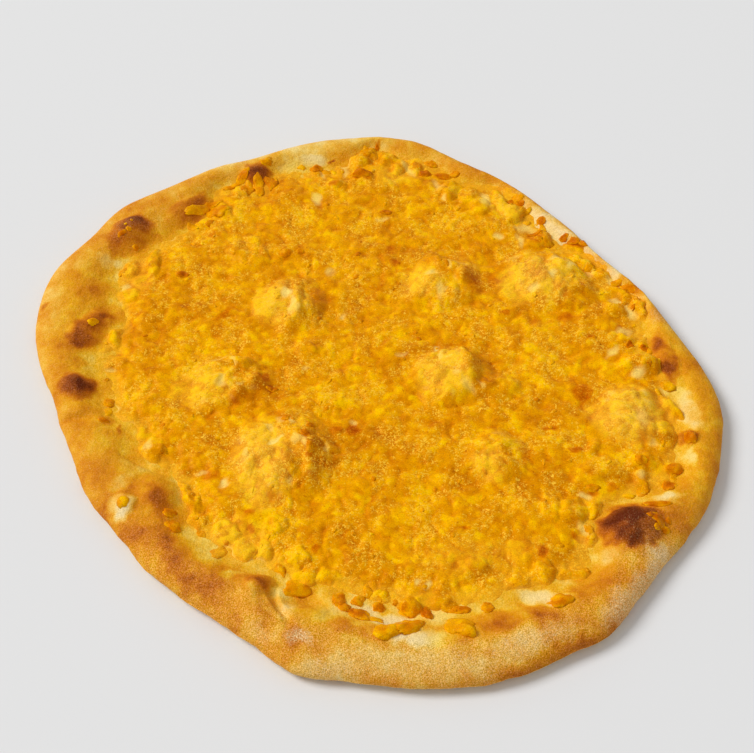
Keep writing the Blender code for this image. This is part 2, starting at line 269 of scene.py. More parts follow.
def around(points, heading):
    """A closed smooth curve through (heading, value) points: a cubic between neighbours, whose
    slopes are those of the chords across each point."""
    known, value = np.array(points, float).T
    known = np.concatenate([known[-2:] - 360, known, known[:2] + 360])
    value = np.concatenate([value[-2:], value, value[:2]])
    slope = np.gradient(value, known)
    heading = np.mod(heading, 360)
    i = np.clip(np.searchsorted(known, heading, side="right") - 1, 1, len(known) - 3)
    step = known[i + 1] - known[i]
    t = (heading - known[i]) / step
    start = (1 + 2 * t) * (1 - t) ** 2 * value[i] + t * (1 - t) ** 2 * step * slope[i]
    end = t * t * (3 - 2 * t) * value[i + 1] + t * t * (t - 1) * step * slope[i + 1]
    return start + end


def smooth(t):
    """0 below 0, 1 above 1, and a smooth rise between."""
    t = np.clip(t, 0, 1)
    return t * t * (3 - 2 * t)


def noise(x, y, size, seed):
    """Uneven waves from about -1 to 1: random slopes on a square lattice of that size, each
    carried to the point and blended by a quintic in both directions."""
    turn = np.random.default_rng(seed).uniform(0, 2 * np.pi, (LATTICE, LATTICE))
    u, v = x / size, y / size
    i, j = np.floor(u).astype(int), np.floor(v).astype(int)
    u, v = u - i, v - j

    def corner(di, dj):
        way = turn[(i + di) % LATTICE, (j + dj) % LATTICE]
        return np.cos(way) * (u - di) + np.sin(way) * (v - dj)

    fu, fv = (t ** 3 * (6 * t * t - 15 * t + 10) for t in (u, v))
    low = corner(0, 0) * (1 - fu) + corner(1, 0) * fu
    high = corner(0, 1) * (1 - fu) + corner(1, 1) * fu
    return 1.6 * (low * (1 - fv) + high * fv)


def waves(listed, x, y):
    """The sum of noises, each a strength, a size and a seed."""
    return sum(strength * noise(x, y, size, seed) for strength, size, seed in listed)


def warped(x, y, reach, size, seed):
    """A point pushed along x and y by two noises of that size, up to about reach each way."""
    return x + reach * noise(x, y, size, seed), y + reach * noise(x, y, size, seed + 1)


def inside(spot, x, y):
    """1 at the middle of an oval x, y, length, width, turn, and 0 at its edge and outside it."""
    c, s = np.cos(np.radians(spot[4])), np.sin(np.radians(spot[4]))
    along = ((x - spot[0]) * c + (y - spot[1]) * s) / (0.5 * spot[2])
    across = ((y - spot[1]) * c - (x - spot[0]) * s) / (0.5 * spot[3])
    return np.clip(1 - along ** 2 - across ** 2, 0, None)


def spots(listed, x, y, power=1.5):
    """The sum of the ovals' last number times their inside to that power."""
    return sum(spot[5] * inside(spot, x, y) ** power for spot in listed)


def heading_of(x, y):
    return np.degrees(np.arctan2(y, x)) % 360


def rim_profile(heading, part):
    """Height of the plain rim from the cheese (part 0) to the outline (part 1): a smooth rise to
    the crest, then a quarter ellipse."""
    crest = around(RIM_CREST, heading)
    rise = RIM_FOOT + (crest - RIM_FOOT) * smooth(part / CREST_AT)
    fall = np.clip((part - CREST_AT) / (1 - CREST_AT), 0, 1)
    fall = WIDEST_AT + (crest - WIDEST_AT) * np.sqrt(1 - fall * fall)
    return np.where(part < CREST_AT, rise, fall)


def rim_part(x, y):
    """Where a point lies between the cheese's edge, 0, and the outline, 1."""
    heading, away = heading_of(x, y), np.hypot(x, y)
    edge, outline = around(CHEESE_EDGE, heading), around(BREAD_OUTLINE, heading)
    return (away - edge) / (outline - edge)


def across_rim(values, part):
    """Three values across the rim, by the cheese, on the crest and at the outline, with a smooth
    blend between."""
    inner, crest, outer = values
    return inner + (crest - inner) * smooth((part - 0.02) / 0.5) + (outer - crest) * smooth(
        (part - 0.5) / 0.45)


def bread_top(x, y):
    """Height of the bread's upper side: the rim's profile or the well's floor, with its blisters
    and folds, and slow and fine unevenness."""
    heading, away = heading_of(x, y), np.hypot(x, y)
    part = rim_part(x, y)
    well = WELL_FLOOR + (RIM_FOOT - WELL_FLOOR) * smooth(
        (away / around(CHEESE_EDGE, heading) - 0.88) / 0.12)
    height = np.where(part < 0, well, rim_profile(heading, part))
    soft = np.sqrt(np.clip(1 - np.clip(part, 0, 1) ** 4, 0, 1))
    blisters = spots(RIM_DOMES, x, y, 0.6) + spots(RIM_SPOTS, *warped(x, y, 1.6, 9, 1))
    return height + soft * (blisters + waves(BREAD_WAVES, x, y))


def piece_from_arrays(name, points, faces, material, attributes, uv):
    """An object from points in millimetres and triangles, shaded smooth. attributes holds one
    number for each point, and uv one place for each corner of each triangle."""
    mesh = bpy.data.meshes.new(name)
    mesh.vertices.add(len(points))
    mesh.vertices.foreach_set("co", (points * MM).astype(np.float32).ravel())
    mesh.loops.add(faces.size)
    mesh.loops.foreach_set("vertex_index", faces.astype(np.int32).ravel())
    mesh.polygons.add(len(faces))
    mesh.polygons.foreach_set("loop_start", np.arange(0, faces.size, 3, dtype=np.int32))
    mesh.update(calc_edges=True)
    mesh.shade_smooth()
    for key, values in attributes.items():
        mesh.attributes.new(key, "FLOAT", "POINT").data.foreach_set(
            "value", values.astype(np.float32).ravel())
    mesh.uv_layers.new(name="OFBake").data.foreach_set("uv", uv.astype(np.float32).ravel())
    mesh.materials.append(material)
    made = bpy.data.objects.new(name, mesh)
    bpy.context.scene.collection.objects.link(made)
    return made


def two_triangles(quads):
    """Quads cut along their first diagonal, of corners or of anything listed by corner."""
    return np.concatenate([quads[:, [0, 1, 2]], quads[:, [0, 2, 3]]])


heading = np.arange(OUTLINE_STEPS) * 360 / OUTLINE_STEPS
turned = np.radians(heading)
edge = around(CHEESE_EDGE, heading)
outline = around(BREAD_OUTLINE, heading)
outline = outline + 0.45 * noise(outline * np.cos(turned), outline * np.sin(turned), 9, 6)
outline = outline + 0.15 * noise(outline * np.cos(turned), outline * np.sin(turned), 3, 7)
well_parts = np.linspace(INNERMOST, FINE_FROM, WELL_RINGS)
top_parts = np.concatenate([well_parts, np.linspace(FINE_FROM, 1, FINE_RINGS)[1:]])
rise_parts = np.linspace(0, CREST_AT, RISE_RINGS)[1:]
fall_parts = CREST_AT + (1 - CREST_AT) * np.sin(np.linspace(0, np.pi / 2, FALL_RINGS))[1:]
away_rings = [part * edge for part in top_parts]
away_rings += [edge + part * (outline - edge) for part in np.concatenate([rise_parts, fall_parts])]
top_rings = len(away_rings)
away_rings = np.array(away_rings)
x, y = away_rings * np.cos(turned), away_rings * np.sin(turned)
z = bread_top(x, y)
z[-1] = WIDEST_AT
# The lower edge: a quarter circle in under the outline, then the flat underside.
under_turns = np.linspace(0, np.pi / 2, TUCK_RINGS)[1:]
lower_away = [outline - EDGE_LIFT * (1 - np.cos(turn)) for turn in under_turns]
lower_z = [np.full(OUTLINE_STEPS, WIDEST_AT * (1 - np.sin(turn))) for turn in under_turns]
for part in np.linspace(1, INNERMOST, UNDER_RINGS)[1:]:
    lower_away.append(part * (outline - EDGE_LIFT))
    lower_z.append(np.zeros(OUTLINE_STEPS))
lower_away, lower_z = np.array(lower_away), np.array(lower_z)
lower_x, lower_y = lower_away * np.cos(turned), lower_away * np.sin(turned)
hollow = UNDER_HOLLOW * np.clip(noise(lower_x, lower_y, 14, 8), 0, 1)
lower_z = lower_z + hollow * smooth((outline - lower_away) / EDGE_LIFT)
points = np.stack([np.concatenate([x, lower_x]), np.concatenate([y, lower_y]),
                   np.concatenate([z, lower_z])], axis=-1)
ring_count = len(points)
here = np.arange(OUTLINE_STEPS)
there = np.roll(here, -1)
starts = (np.arange(ring_count - 1) * OUTLINE_STEPS)[:, None]
quads = np.stack([starts + here, starts + OUTLINE_STEPS + here, starts + OUTLINE_STEPS + there,
                  starts + there], axis=-1).reshape(-1, 4)
flat_points = points.reshape(-1, 3)
middles = len(flat_points) + np.arange(2)
last = here + (ring_count - 1) * OUTLINE_STEPS
top_fan = np.stack([np.full(OUTLINE_STEPS, middles[0]), here, there], axis=1)
under_fan = np.stack([np.full(OUTLINE_STEPS, middles[1]), np.roll(last, -1), last], axis=1)
bread_points = np.concatenate([flat_points, [[0, 0, z[0].mean()], [0, 0, 0]]])

# Each vertex carries how far it is toasted, soaked with fat and floured.
bx, by, bz = bread_points.T
part = rim_part(bx, by)
is_top = np.arange(len(bread_points)) < top_rings * OUTLINE_STEPS
wx = bx + 2.0 * noise(bx, by, 7, 11) + 0.9 * noise(bx, by, 2.6, 12)
wy = by + 2.0 * noise(bx, by, 7, 13) + 0.9 * noise(bx, by, 2.6, 14)
toast = across_rim(RIM_TOAST, part) + waves(TOAST_WAVES, bx, by) + spots(TOAST_MARKS, wx, wy, 0.65)
under_toast = 0.24 + 0.14 * noise(bx, by, 9, 17) + 0.22 * smooth(noise(bx, by, 17, 18) * 2 - 0.4)
toast = np.where(is_top, toast, under_toast)
flour = across_rim(RIM_FLOUR, part) + spots(FLOUR_MARKS, wx, wy, 0.7)
flour = np.where(is_top, flour, 0.35)
oil = across_rim(RIM_OIL, part) + spots(OIL_MARKS, wx, wy, 0.8)
oil = np.where(is_top, oil + 0.16 * noise(bx, by, 9, 19), 0.1)
# The lowest edge, next to the stone, is paler, drier and floured.
low_edge = smooth((WIDEST_AT + 1.0 - bz) / 4.0) * smooth((part - 0.75) / 0.2)
toast = toast - 0.14 * low_edge
flour = flour + 0.35 * low_edge
oil = oil - 0.3 * low_edge
# How sandy the skin is: most on the front, where flour has browned, and on the blisters.
sandy = smooth((-by - 45) / 45) * smooth((part - 0.38) / 0.2) + smooth((toast - 0.55) / 0.2)
sandy = np.clip(sandy, 0.38, 1)

# In the bake's square the top is one disc and the underside another, each by length along the
# surface from its middle, so that no part of the rim is narrow.
arc = np.concatenate([np.zeros((1, OUTLINE_STEPS)),
                      np.cumsum(np.linalg.norm(np.diff(points, axis=0), axis=2), axis=0)])
seam = top_rings + len(under_turns) // 2
under_arc = arc[-1] - arc


def disc_places(length, share, middle):
    """The bake's places of all vertices, by their length along the surface, round a middle."""
    length = length * share / length[seam].max()
    places = np.stack([middle + length * np.cos(turned), middle + length * np.sin(turned)],
                      axis=-1).reshape(-1, 2)
    return np.concatenate([places, [[middle, middle]] * 2])


top_places = disc_places(arc, TOP_SHARE, TOP_SHARE + 0.005)
under_places = disc_places(under_arc, UNDER_SHARE, 1 - UNDER_SHARE - 0.005)
seen_below = np.arange(len(quads)) >= seam * OUTLINE_STEPS
quad_uv = np.where(seen_below[:, None, None], under_places[quads], top_places[quads])

# Baked wheat crust: a matt skin, pale and dry where raw, golden to brown where it has toasted,
# deeper and yellower where fat has soaked in, with pores and fine blisters about 1 mm across and
# a fine grit of flour.
crust, tree = new_material("baked_crust")
where = add(tree, "TexCoord").outputs["Object"]
toast_value, oil_value, flour_value, sandy_value = (
    add(tree, "Attribute", {"attribute_name": name}).outputs["Fac"]
    for name in ("toast", "oil", "flour", "sandy"))
blisters = add(tree, "TexNoise", {"Scale": 1 / (1.3 * MM), "Detail": 4.0, "Roughness": 0.62},
               Vector=where)
freckles = add(tree, "TexNoise", {"Scale": 1 / (0.7 * MM), "Detail": 3.0, "Roughness": 0.8},
               Vector=where)
mottle = add(tree, "TexNoise", {"Scale": 1 / (4.5 * MM), "Detail": 3.0, "Roughness": 0.6},
             Vector=where)
mottled = add(tree, "Math", {"operation": "MULTIPLY_ADD", 1: 0.36}, i0=mottle, i2=toast_value)
off_freckle = add(tree, "Math", {"operation": "SUBTRACT", 1: 0.5}, i0=freckles)
freckle = add(tree, "Math", {"operation": "MULTIPLY"}, i0=off_freckle, i1=sandy_value)
freckled = add(tree, "Math", {"operation": "MULTIPLY_ADD", 1: 0.4}, i0=freckle, i2=mottled)
toasted = add(tree, "Math", {"operation": "SUBTRACT", 1: 0.18, "use_clamp": True}, i0=freckled)
dry = add(tree, "ValToRGB", {"stops": [
    (0.0, "#f9dfa8"), (0.15, "#f5c86c"), (0.3, "#eeae3e"), (0.45, "#e4951f"), (0.6, "#cd7612"),
    (0.75, "#a6540e"), (0.9, "#803e0c"), (1.0, "#6a2a0a")]}, Fac=toasted)
oily = add(tree, "ValToRGB", {"stops": [
    (0.0, "#f9d25c"), (0.15, "#f3b826"), (0.3, "#e99e08"), (0.45, "#dc8800"), (0.6, "#c46b00"),
    (0.75, "#9c4a00"), (0.9, "#783202"), (1.0, "#642404")]}, Fac=toasted)
skin = add(tree, "Mix", {"data_type": "RGBA"}, i0=oil_value, i6=dry, i7=oily)
veil = add(tree, "Math", {"operation": "MULTIPLY_ADD", 1: 0.6, 2: -0.15, "use_clamp": True},
           i0=flour_value)
dusted = add(tree, "Mix", {"data_type": "RGBA", 7: linear("#e6b070")}, i0=veil, i6=skin)
dust = add(tree, "TexNoise", {"Scale": 1 / (0.55 * MM), "Detail": 2.0, "Roughness": 0.6},
           Vector=where)
clinging = add(tree, "Math", {"operation": "MULTIPLY_ADD", 1: 0.16}, i0=flour_value, i2=dust)
grained = add(tree, "Math", {"operation": "MULTIPLY_ADD", 1: 7.0, 2: -4.2, "use_clamp": True},
              i0=clinging)
gated = add(tree, "Math", {"operation": "MULTIPLY", "use_clamp": True}, i0=grained, i1=flour_value)
floury = add(tree, "Mix", {"data_type": "RGBA", 7: linear("#eec88c")}, i0=gated, i6=dusted)
pores = add(tree, "Bump", {"Strength": 0.85, "Distance": 0.7 * MM}, Height=blisters)
grit = add(tree, "TexNoise", {"Scale": 1 / (0.45 * MM), "Detail": 2.0, "Roughness": 0.7},
           Vector=where)
centred = add(tree, "Math", {"operation": "SUBTRACT", 1: 0.5}, i0=grit)
placed_grit = add(tree, "Math", {"operation": "MULTIPLY"}, i0=centred, i1=sandy_value)
gritty = add(tree, "Math", {"operation": "MULTIPLY_ADD", 1: 2.0, 2: 1.0}, i0=placed_grit)
pallid = add(tree, "Math", {"operation": "MULTIPLY_ADD", 1: -0.6, 2: 1.0}, i0=placed_grit)
skin_colour = add(tree, "HueSaturation", Value=gritty, Saturation=pallid, Color=floury)
crust_shader = add(tree, "BsdfPrincipled", {"Roughness": 0.6, "Specular IOR Level": 0.06},
                   Base_Color=skin_colour, Normal=pores)
add(tree, "OutputMaterial", Surface=crust_shader)

bread = piece_from_arrays(
    "flatbread_crust", bread_points, np.concatenate([two_triangles(quads), top_fan, under_fan]),
    crust, {"toast": toast, "flour": flour, "oil": oil, "sandy": sandy},
    np.concatenate([two_triangles(quad_uv), top_places[top_fan], under_places[under_fan]]))
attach(bread, "root")
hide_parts("flatbread")

# ---- Cheese sheet --------------------------------------------------------------------------
# Grated yellow cheese, melted together in the oven: its shreds have run into soft lumps with
# fine creases between them, the handfuls still stand up as mounds, and the ragged edge lies on
# the foot of the rim, where paler curds and bare dough show between the lumps.
CHEESE_TOP = 8.6             # height of the plain sheet over the table
CHEESE_LIP = 0.3             # its thickness at the edge
CHEESE_SHOULDER = 15.0       # how far inside the edge it has its full thickness
CHEESE_REACH = 5.0           # how far its mesh goes on past the edge, inside the bread
SHEET_FLOOR = WELL_FLOOR - 1.5
FLOOR_SHARE = 0.9            # the floor's size, as a share of the sheet's
# The lattices on which melted lumps lie, and how high they stand.
SHRED_SIZE, CURD_SIZE, CLUMP_SIZE, SMALL_CLUMP_SIZE = 3.8, 2.5, 6.5, 3.6
SHRED_HEIGHT, CLUMP_HEIGHT = 0.52, 1.9
CREASE_SHARPNESS = 9
# Slow swells, the ragged edge, and unevenness of crumbliness, tone and browning: strength,
# size and seed of each noise.
SWELLS = [(0.7, 24, 34), (0.6, 9, 35)]
RAGGED_WAVES = [(2.2, 14, 36), (1.6, 6, 40), (0.9, 3, 37)]
CRUMBLY_WAVES = [(0.8, 13, 57), (0.5, 5, 58)]
TONE_WAVES = [(0.17, 26, 59), (0.13, 9, 60)]
BROWNED_WAVES = [(0.08, 19, 53), (0.08, 6, 54), (0.05, 50, 55)]
# Handfuls, and the ridges on them: x, y, length, width, turn, height.
MOUNDS = [
    (-34, 37, 32, 32, 0, 4.2), (-31, 38, 24, 8, 95, 2.0), (32, -1, 35, 33, 0, 5.2),
    (37, 3, 26, 9, 112, 2.6), (50, -6, 17, 16, 0, 2.4), (-34, -39, 44, 46, 0, 5.4),
    (-26, -35, 32, 12, 112, 2.6), (-58, -4, 38, 27, 15, 3.8), (-55, 5, 24, 8, -8, 1.8),
    (-47, -2, 15, 8, -62, 1.8), (29, 49, 36, 28, 10, 4.0), (34, 55, 22, 10, -30, 2.0),
    (74, 52, 44, 30, 150, 5.0), (82, 59, 24, 10, -40, 2.0), (48, -40, 30, 27, 0, 3.6),
    (104, -18, 34, 30, -10, 4.2), (109, -27, 16, 12, 0, 1.8), (108, 6, 17, 14, 0, 3.4),
    (-56, 66, 26, 10, -52, 1.8), (-26, 15, 18, 9, 30, 1.2), (86, -35, 9, 9, 0, 1.8),
    (88, -45, 18, 10, 0, 1.6),
]
# Separate lumps along the edge: x, y, length, width, turn, height.
EDGE_LUMPS = [
    (-6, 123, 11, 10, 20, 2.4), (-1, 127, 6, 8, 0, 1.8), (7, 124, 9, 10, 0, 2.4),
    (12, 119, 8, 10, 0, 2.0), (-5, 113, 10, 6, -10, 1.6), (19, 118, 5, 10, 20, 1.2),
    (-17, 108, 7, 8, 0, 1.2), (-25, 117, 6, 7, 0, 1.2), (34, 104, 11, 13, -20, 2.2),
    (42, 101, 10, 12, -20, 1.8), (46, 94, 9, 12, 0, 1.6), (56, 98, 6, 14, 20, 2.4),
    (61, 91, 11, 10, 0, 2.4), (73, 76, 7, 10, 0, 1.8), (70, 72, 9, 6, 0, 1.2),
    (89, 62, 14, 4, -42, 1.6), (98, 56, 12, 4, -45, 1.4), (86, 72, 12, 6, -25, 1.8),
    (101, 36, 10, 7, -20, 1.6), (111, 37, 5, 18, 22, 1.8), (104, 46, 12, 5, -30, 1.2),
    (105, 20, 9, 5, 0, 1.2), (111, 19, 5, 5, 0, 1.2), (110.5, 6.5, 12, 10, 0, 2.2),
    (119, -15, 17, 4, -52, 2.0), (116, -28, 8, 12, 0, 1.8), (105, -42, 12, 8, 0, 1.4),
    (117, -44, 9, 7, 20, 1.5), (104, -50, 7, 10, 0, 1.6), (113, -53, 7, 7, 0, 1.0),
    (77, -64, 11, 12, 0, 2.0), (68, -63, 8, 12, 0, 1.4), (86, -63, 10, 7, -35, 1.8),
    (84, -78, 7, 10, 10, 1.4), (64, -92, 9, 10, 0, 1.8), (75, -92, 13, 6, 5, 1.6),
    (54, -95, 10, 9, 0, 1.2), (38, -90, 10, 8, 0, 1.2), (-48, -82, 9, 9, 0, 1.8),
    (-40, -82, 7, 9, 0, 1.4), (-55, -74, 12, 11, 0, 1.4), (-36, -71, 10, 9, 0, 1.4),
    (-28, -85, 9, 9, 0, 1.6), (-25, -94, 10, 9, 0, 1.8), (-16, -93, 9, 8, 0, 1.4),
    (-36, -92, 8, 7, 0, 1.0), (14, -106, 9, 7, 0, 1.4), (3, -102, 7, 6, 0, 1.2),
    (25, -104, 10, 6, 0, 1.2), (-70, -58, 18, 5, -62, 1.8), (-86, -36, 9, 13, 10, 1.4),
    (-90, -28, 6, 8, 0, 1.0), (-66, -68, 10, 8, 0, 1.2), (-102, 58, 8, 11, -25, 1.6),
    (-93, 62, 6, 18, 5, 1.6), (-74, 84, 12, 7, 25, 1.2), (-66, 92, 9, 9, 0, 1.2),
    (-106, 24, 5, 17, 8, 1.6), (-101, 44, 8, 8, 0, 1.0), (-103, 8, 9, 6, 0, 1.0),
    (-58, 104, 7, 8, 0, 1.4),
]
# Grated shreds that still show as soft ridges: x, y, length, width, turn, height.
SHREDS = [
    (-71, -59, 15, 4.4, -62, 1.0), (-93, 60, 13, 5.0, -80, 1.0), (-48, 67, 17, 5.2, -52, 1.1),
    (-52, 74, 10, 4.2, -40, 0.9), (-107, 23, 12, 4.4, -80, 0.9), (119, -16, 11, 4.2, -52, 0.9),
    (92, 59, 22, 3.8, -41, 1.0), (98, 54, 13, 3.6, -48, 0.9), (111, 37, 15, 5.2, -86, 1.0),
    (-54, 6, 16, 4.6, -20, 1.1), (-47, 0, 11, 4.2, 82, 0.9), (-26, 14, 12, 5.0, -30, 0.9),
    (-31, 37, 16, 4.6, 85, 1.1), (-26, 36, 11, 4.0, 100, 0.9), (-18, -34, 12, 4.0, -40, 0.9),
    (38, 8, 12, 4.0, -60, 1.0), (26, 10, 11, 4.0, 15, 0.9), (36, -9, 11, 4.4, 30, 0.9),
    (-45, -30, 14, 4.4, 40, 1.0), (-48, -47, 12, 4.4, 75, 0.9), (76, 60, 14, 4.2, -35, 1.0),
    (62, 50, 12, 4.2, 20, 0.9), (102, -12, 14, 4.4, 10, 1.0), (98, -23, 12, 4.2, -20, 0.9),
    (50, -36, 12, 4.4, 30, 0.9), (46, -45, 11, 4.0, -20, 0.9),
]
# Browned places, and broad faint ones on the heaps' right flanks, which are painted shade:
# x, y, length, width, turn, strength.
CHEESE_TOAST_AND_FLANK_SHADE = [
    (-37, 66, 5, 5, 0, 0.5), (-31, 67, 4, 4, 0, 0.45), (8, 68, 6, 6, 0, 0.35),
    (9, 60, 6, 4, 0, 0.4), (13, 56, 10, 4, 0, 0.35), (6, 90, 5, 3, 0, 0.8),
    (-5, 112, 10, 4, -10, 0.75), (-17, 107, 5, 5, 0, 0.6), (-25, 118, 6, 4, 0, 0.6),
    (23, 114, 6, 4, 0, 0.9), (30, 113, 8, 4, -10, 0.6), (20, 120, 4, 6, 0, 0.45),
    (62, 97, 8, 3, -20, 0.7), (70, 79, 9, 2.5, 20, 0.7), (70, 75, 9, 7, 0, 0.35),
    (85, 73, 12, 4, -20, 0.7), (88, 71, 8, 3, 0, 0.5), (106, 48, 9, 4, -30, 0.6),
    (55, 33, 6, 4, 0, 0.4), (80, 31, 7, 7, 0, 0.4), (84, -8, 10, 8, 0, 0.45),
    (70, -26, 6, 4, 0, 0.45), (79, -36, 6, 4, 0, 0.5), (106, -42, 5, 4, 0, 0.5),
    (117, -46, 6, 5, 0, 0.55), (114, -53, 6, 5, 0, 0.65), (85, -55, 6, 4, 0, 0.5),
    (92, -53, 6, 5, 0, 0.4), (78, -76, 10, 3, -30, 0.55), (64, -83, 5, 5, 0, 0.5),
    (35, -73, 6, 3, 0, 0.45), (-34, -23, 4, 3, 0, 0.6), (-24, -27, 5, 4, 0, 0.7),
    (-26, -33, 6, 4, -20, 0.9), (-24, -41, 3, 6, 0, 0.55), (-7, -27, 7, 5, 0, 0.6),
    (-14, -27, 6, 4, 0, 0.35), (-40, -7, 5, 4, 0, 0.8), (-43, -2, 5, 5, 0, 0.45),
    (-55, -14, 6, 10, 0, 0.35), (-17, -40, 12, 22, 0, 0.12), (-46, -6, 10, 12, 0, 0.12),
    (-80, 54, 6, 4, -10, 0.85), (-94, 49, 5, 4, 0, 0.35), (-61, 33, 4, 14, -35, 0.3),
    (-63, -48, 10, 6, 0, 0.3), (-47, -66, 6, 4, 0, 0.45), (-46, -73, 4, 4, 0, 0.5),
    (-21, -82, 4, 4, 0, 0.5), (20, -108, 4, 5, 0, 0.75), (33, -107, 7, 4, 0, 0.4),
    (42, -106, 5, 5, 0, 0.45), (-24, 42, 16, 12, 0, 0.10), (-18, 36, 9, 14, 0, 0.10),
    (42, 50, 10, 16, 0, 0.15), (46, 0, 12, 12, 0, 0.12), (61, -40, 6, 12, 0, 0.15),
    (-104, 13, 8, 3, 0, 0.45), (-68, 78, 8, 5, 0, 0.3), (52, 52, 10, 16, 0, 0.2),
]
# Curds and bare dough that show white or cream: x, y, length, width, turn, strength.
CREAM_MARKS = [
    (-36, 41, 5, 9, 20, 0.9), (-33, 34, 4, 8, -10, 0.8), (-18, 56, 5, 6, 0, 0.55),
    (25, 52, 7, 3, 0, 0.7), (28, 44, 4, 8, 0, 0.6), (26, 14, 2.5, 4, -20, 1.0),
    (12, 11, 6, 2, 10, 0.5), (-27, 4, 3, 5, 0, 0.45), (-38, -35, 9, 2, 40, 1.0),
    (-32, -25, 4, 4, 0, 0.6), (-26, -37, 3, 7, 25, 0.5), (-7, -23, 3, 4, 0, 0.6),
    (38, -7, 6, 6, 0, 0.4), (-12, 31, 3, 3, 0, 0.7), (-60, -5, 4, 7, 20, 0.7),
    (-62, 7, 9, 2, 8, 0.5), (-57, -52, 3, 6, -20, 1.0), (-66, -47, 7, 2, 5, 0.5),
    (-84, -47, 8, 2, -3, 0.9), (-87, -34, 4, 7, 0, 0.7), (-54, -84, 6, 11, 20, 0.9),
    (-43, -87, 8, 4, -8, 0.9), (-62, -85, 6, 4, 0, 0.6), (-18, -101, 13, 4, -32, 0.9),
    (-4, -107, 8, 5, -20, 0.8), (17, -96, 3, 3, 0, 0.9), (21, -97, 4, 3, 20, 1.0),
    (15, -110, 9, 3, 8, 0.8), (37, -113, 5, 8, 0, 0.7), (62, -101, 22, 6, -12, 1.0),
    (67, -105, 8, 6, 0, 0.8), (76, -98, 11, 5, 5, 0.7), (85, -88, 6, 6, 0, 0.8),
    (88, -82, 7, 11, 0, 0.9), (80, -72, 9, 6, -40, 0.7), (81, -57, 6, 4, -10, 0.9),
    (106, -58, 8, 4, 0, 0.7), (114, -60, 12, 6, -5, 0.8), (104, -48, 5, 3, 0, 0.6),
    (107, 1, 8, 4, 5, 0.9), (119, -7, 9, 6, -20, 0.6), (125, -39, 6, 6, 0, 0.8),
    (106, -23, 6, 11, 0, 0.35), (110, -33, 4, 3, 0, 0.6), (49, 98, 5, 11, 10, 0.9),
    (54, 76, 6, 4, 0, 0.8), (66, 82, 11, 6, 0, 0.7), (63, 73, 4, 10, 10, 0.6),
    (83, 57, 4, 6, 0, 0.7), (75, 51, 4, 6, 0, 0.8), (77, 60, 7, 3, 0, 0.6),
    (67, 45, 5, 5, 0, 0.6), (91, 57, 5, 9, 20, 0.5), (102, 51, 9, 4, -35, 0.8),
    (103, 40, 9, 4, -5, 0.9), (107, 35, 3.5, 9, 20, 1.0), (103, 24, 8, 5, 0, 0.6),
    (98, 13, 10, 4, 50, 0.7), (-27, 122, 18, 5, 8, 0.5), (-22, 115, 4, 9, 0, 0.6),
    (-12, 118, 3.5, 16, -8, 0.6), (15, 118, 4, 16, 25, 0.6), (-24, 98, 5, 9, 0, 0.8),
    (28, 107, 5, 9, 25, 0.6), (31, 98, 4, 4, 0, 0.8), (4, 86, 7, 3, 0, 0.5),
    (-88, 77, 11, 4, 25, 0.7), (-104, 49, 6, 4, 0, 0.7), (-107, 40, 6, 4, 0, 0.8),
    (-111, 11, 6, 6, 0, 0.8), (-106, 5, 5, 3, 0, 0.6), (-103, -14, 5, 7, 20, 0.8),
    (-106, -9, 8, 3, 5, 0.8), (-98, -23, 7, 4, 10, 0.7), (-95, -44, 13, 4, -5, 0.6),
]
# Painted light and shade on the heaps: lighter and curdier places on the lit side of a heap, and
# below zero deeper amber ones on its shaded flank: x, y, length, width, turn, strength.
HEAP_LIGHT_AND_SHADE_MARKS = [
    (-39, 37, 22, 26, 0, 0.26), (19, 49, 20, 22, 0, 0.24), (68, 50, 36, 26, 10, 0.36),
    (29, 0, 24, 28, 0, 0.28), (-68, -6, 30, 24, 0, 0.18), (-43, -44, 26, 46, 0, 0.32),
    (46, -44, 16, 16, 0, 0.22), (102, -20, 36, 32, 0, 0.34), (-50, -80, 36, 24, -40, 0.20),
    (-99, 54, 14, 26, 0, 0.16), (10, 112, 22, 14, 0, 0.16), (58, 92, 30, 12, -45, 0.18),
    (40, -84, 60, 18, 5, 0.08), (-14, -34, 30, 30, 0, -0.34), (-46, -9, 18, 20, -40, -0.32),
    (47, -9, 20, 20, 0, -0.24), (44, 50, 16, 18, 0, -0.28), (-21, 38, 12, 16, 0, -0.20),
    (63, -47, 12, 28, 10, -0.26), (91, 44, 12, 14, 0, -0.20), (14, 60, 16, 12, 0, -0.12),
]
# Blisters that the cheese has run off: x, y, length, width, turn, how far its edge draws back.
EDGE_BAYS = [
    (100, -71, 27, 25, 0, 8.0), (-99, 72, 18, 18, 0, 5.0), (-105, 32, 20, 20, 0, 5.0),
    (-109, -6, 16, 20, 0, 5.0), (119.5, 5.5, 7, 9, 0, 6.0),
]
SHEET_STEPS = 306


def lumps(x, y, size, seed, stretch):
    """Soft lumps packed side by side, one round a random place in each cell of a square lattice.
    A lump falls off from its middle by the square of the distance in its own oval radius, and
    neighbours meet in a rounded crease. Gives their height at each point, and the mean of their
    random numbers, in which the highest weigh most."""
    chance = np.random.default_rng(seed).uniform(0, 1, (5, LATTICE, LATTICE))
    shift_x, shift_y, turn, tall, number = chance
    i, j = np.floor(x / size).astype(int), np.floor(y / size).astype(int)
    total, numbers = np.zeros_like(x), np.zeros_like(x)
    for di in (-1, 0, 1):
        for dj in (-1, 0, 1):
            cell = (i + di) % LATTICE, (j + dj) % LATTICE
            dx, dy = x - (i + di + shift_x[cell]) * size, y - (j + dj + shift_y[cell]) * size
            c, s = np.cos(np.pi * turn[cell]), np.sin(np.pi * turn[cell])
            along = (dx * c + dy * s) / (0.8 * size * stretch)
            across = (dy * c - dx * s) / (0.8 * size / stretch)
            weight = np.exp(CREASE_SHARPNESS * (0.5 * tall[cell] - along ** 2 - across ** 2))
            total += weight
            numbers += weight * number[cell]
    return np.log(total) / CREASE_SHARPNESS, numbers / total


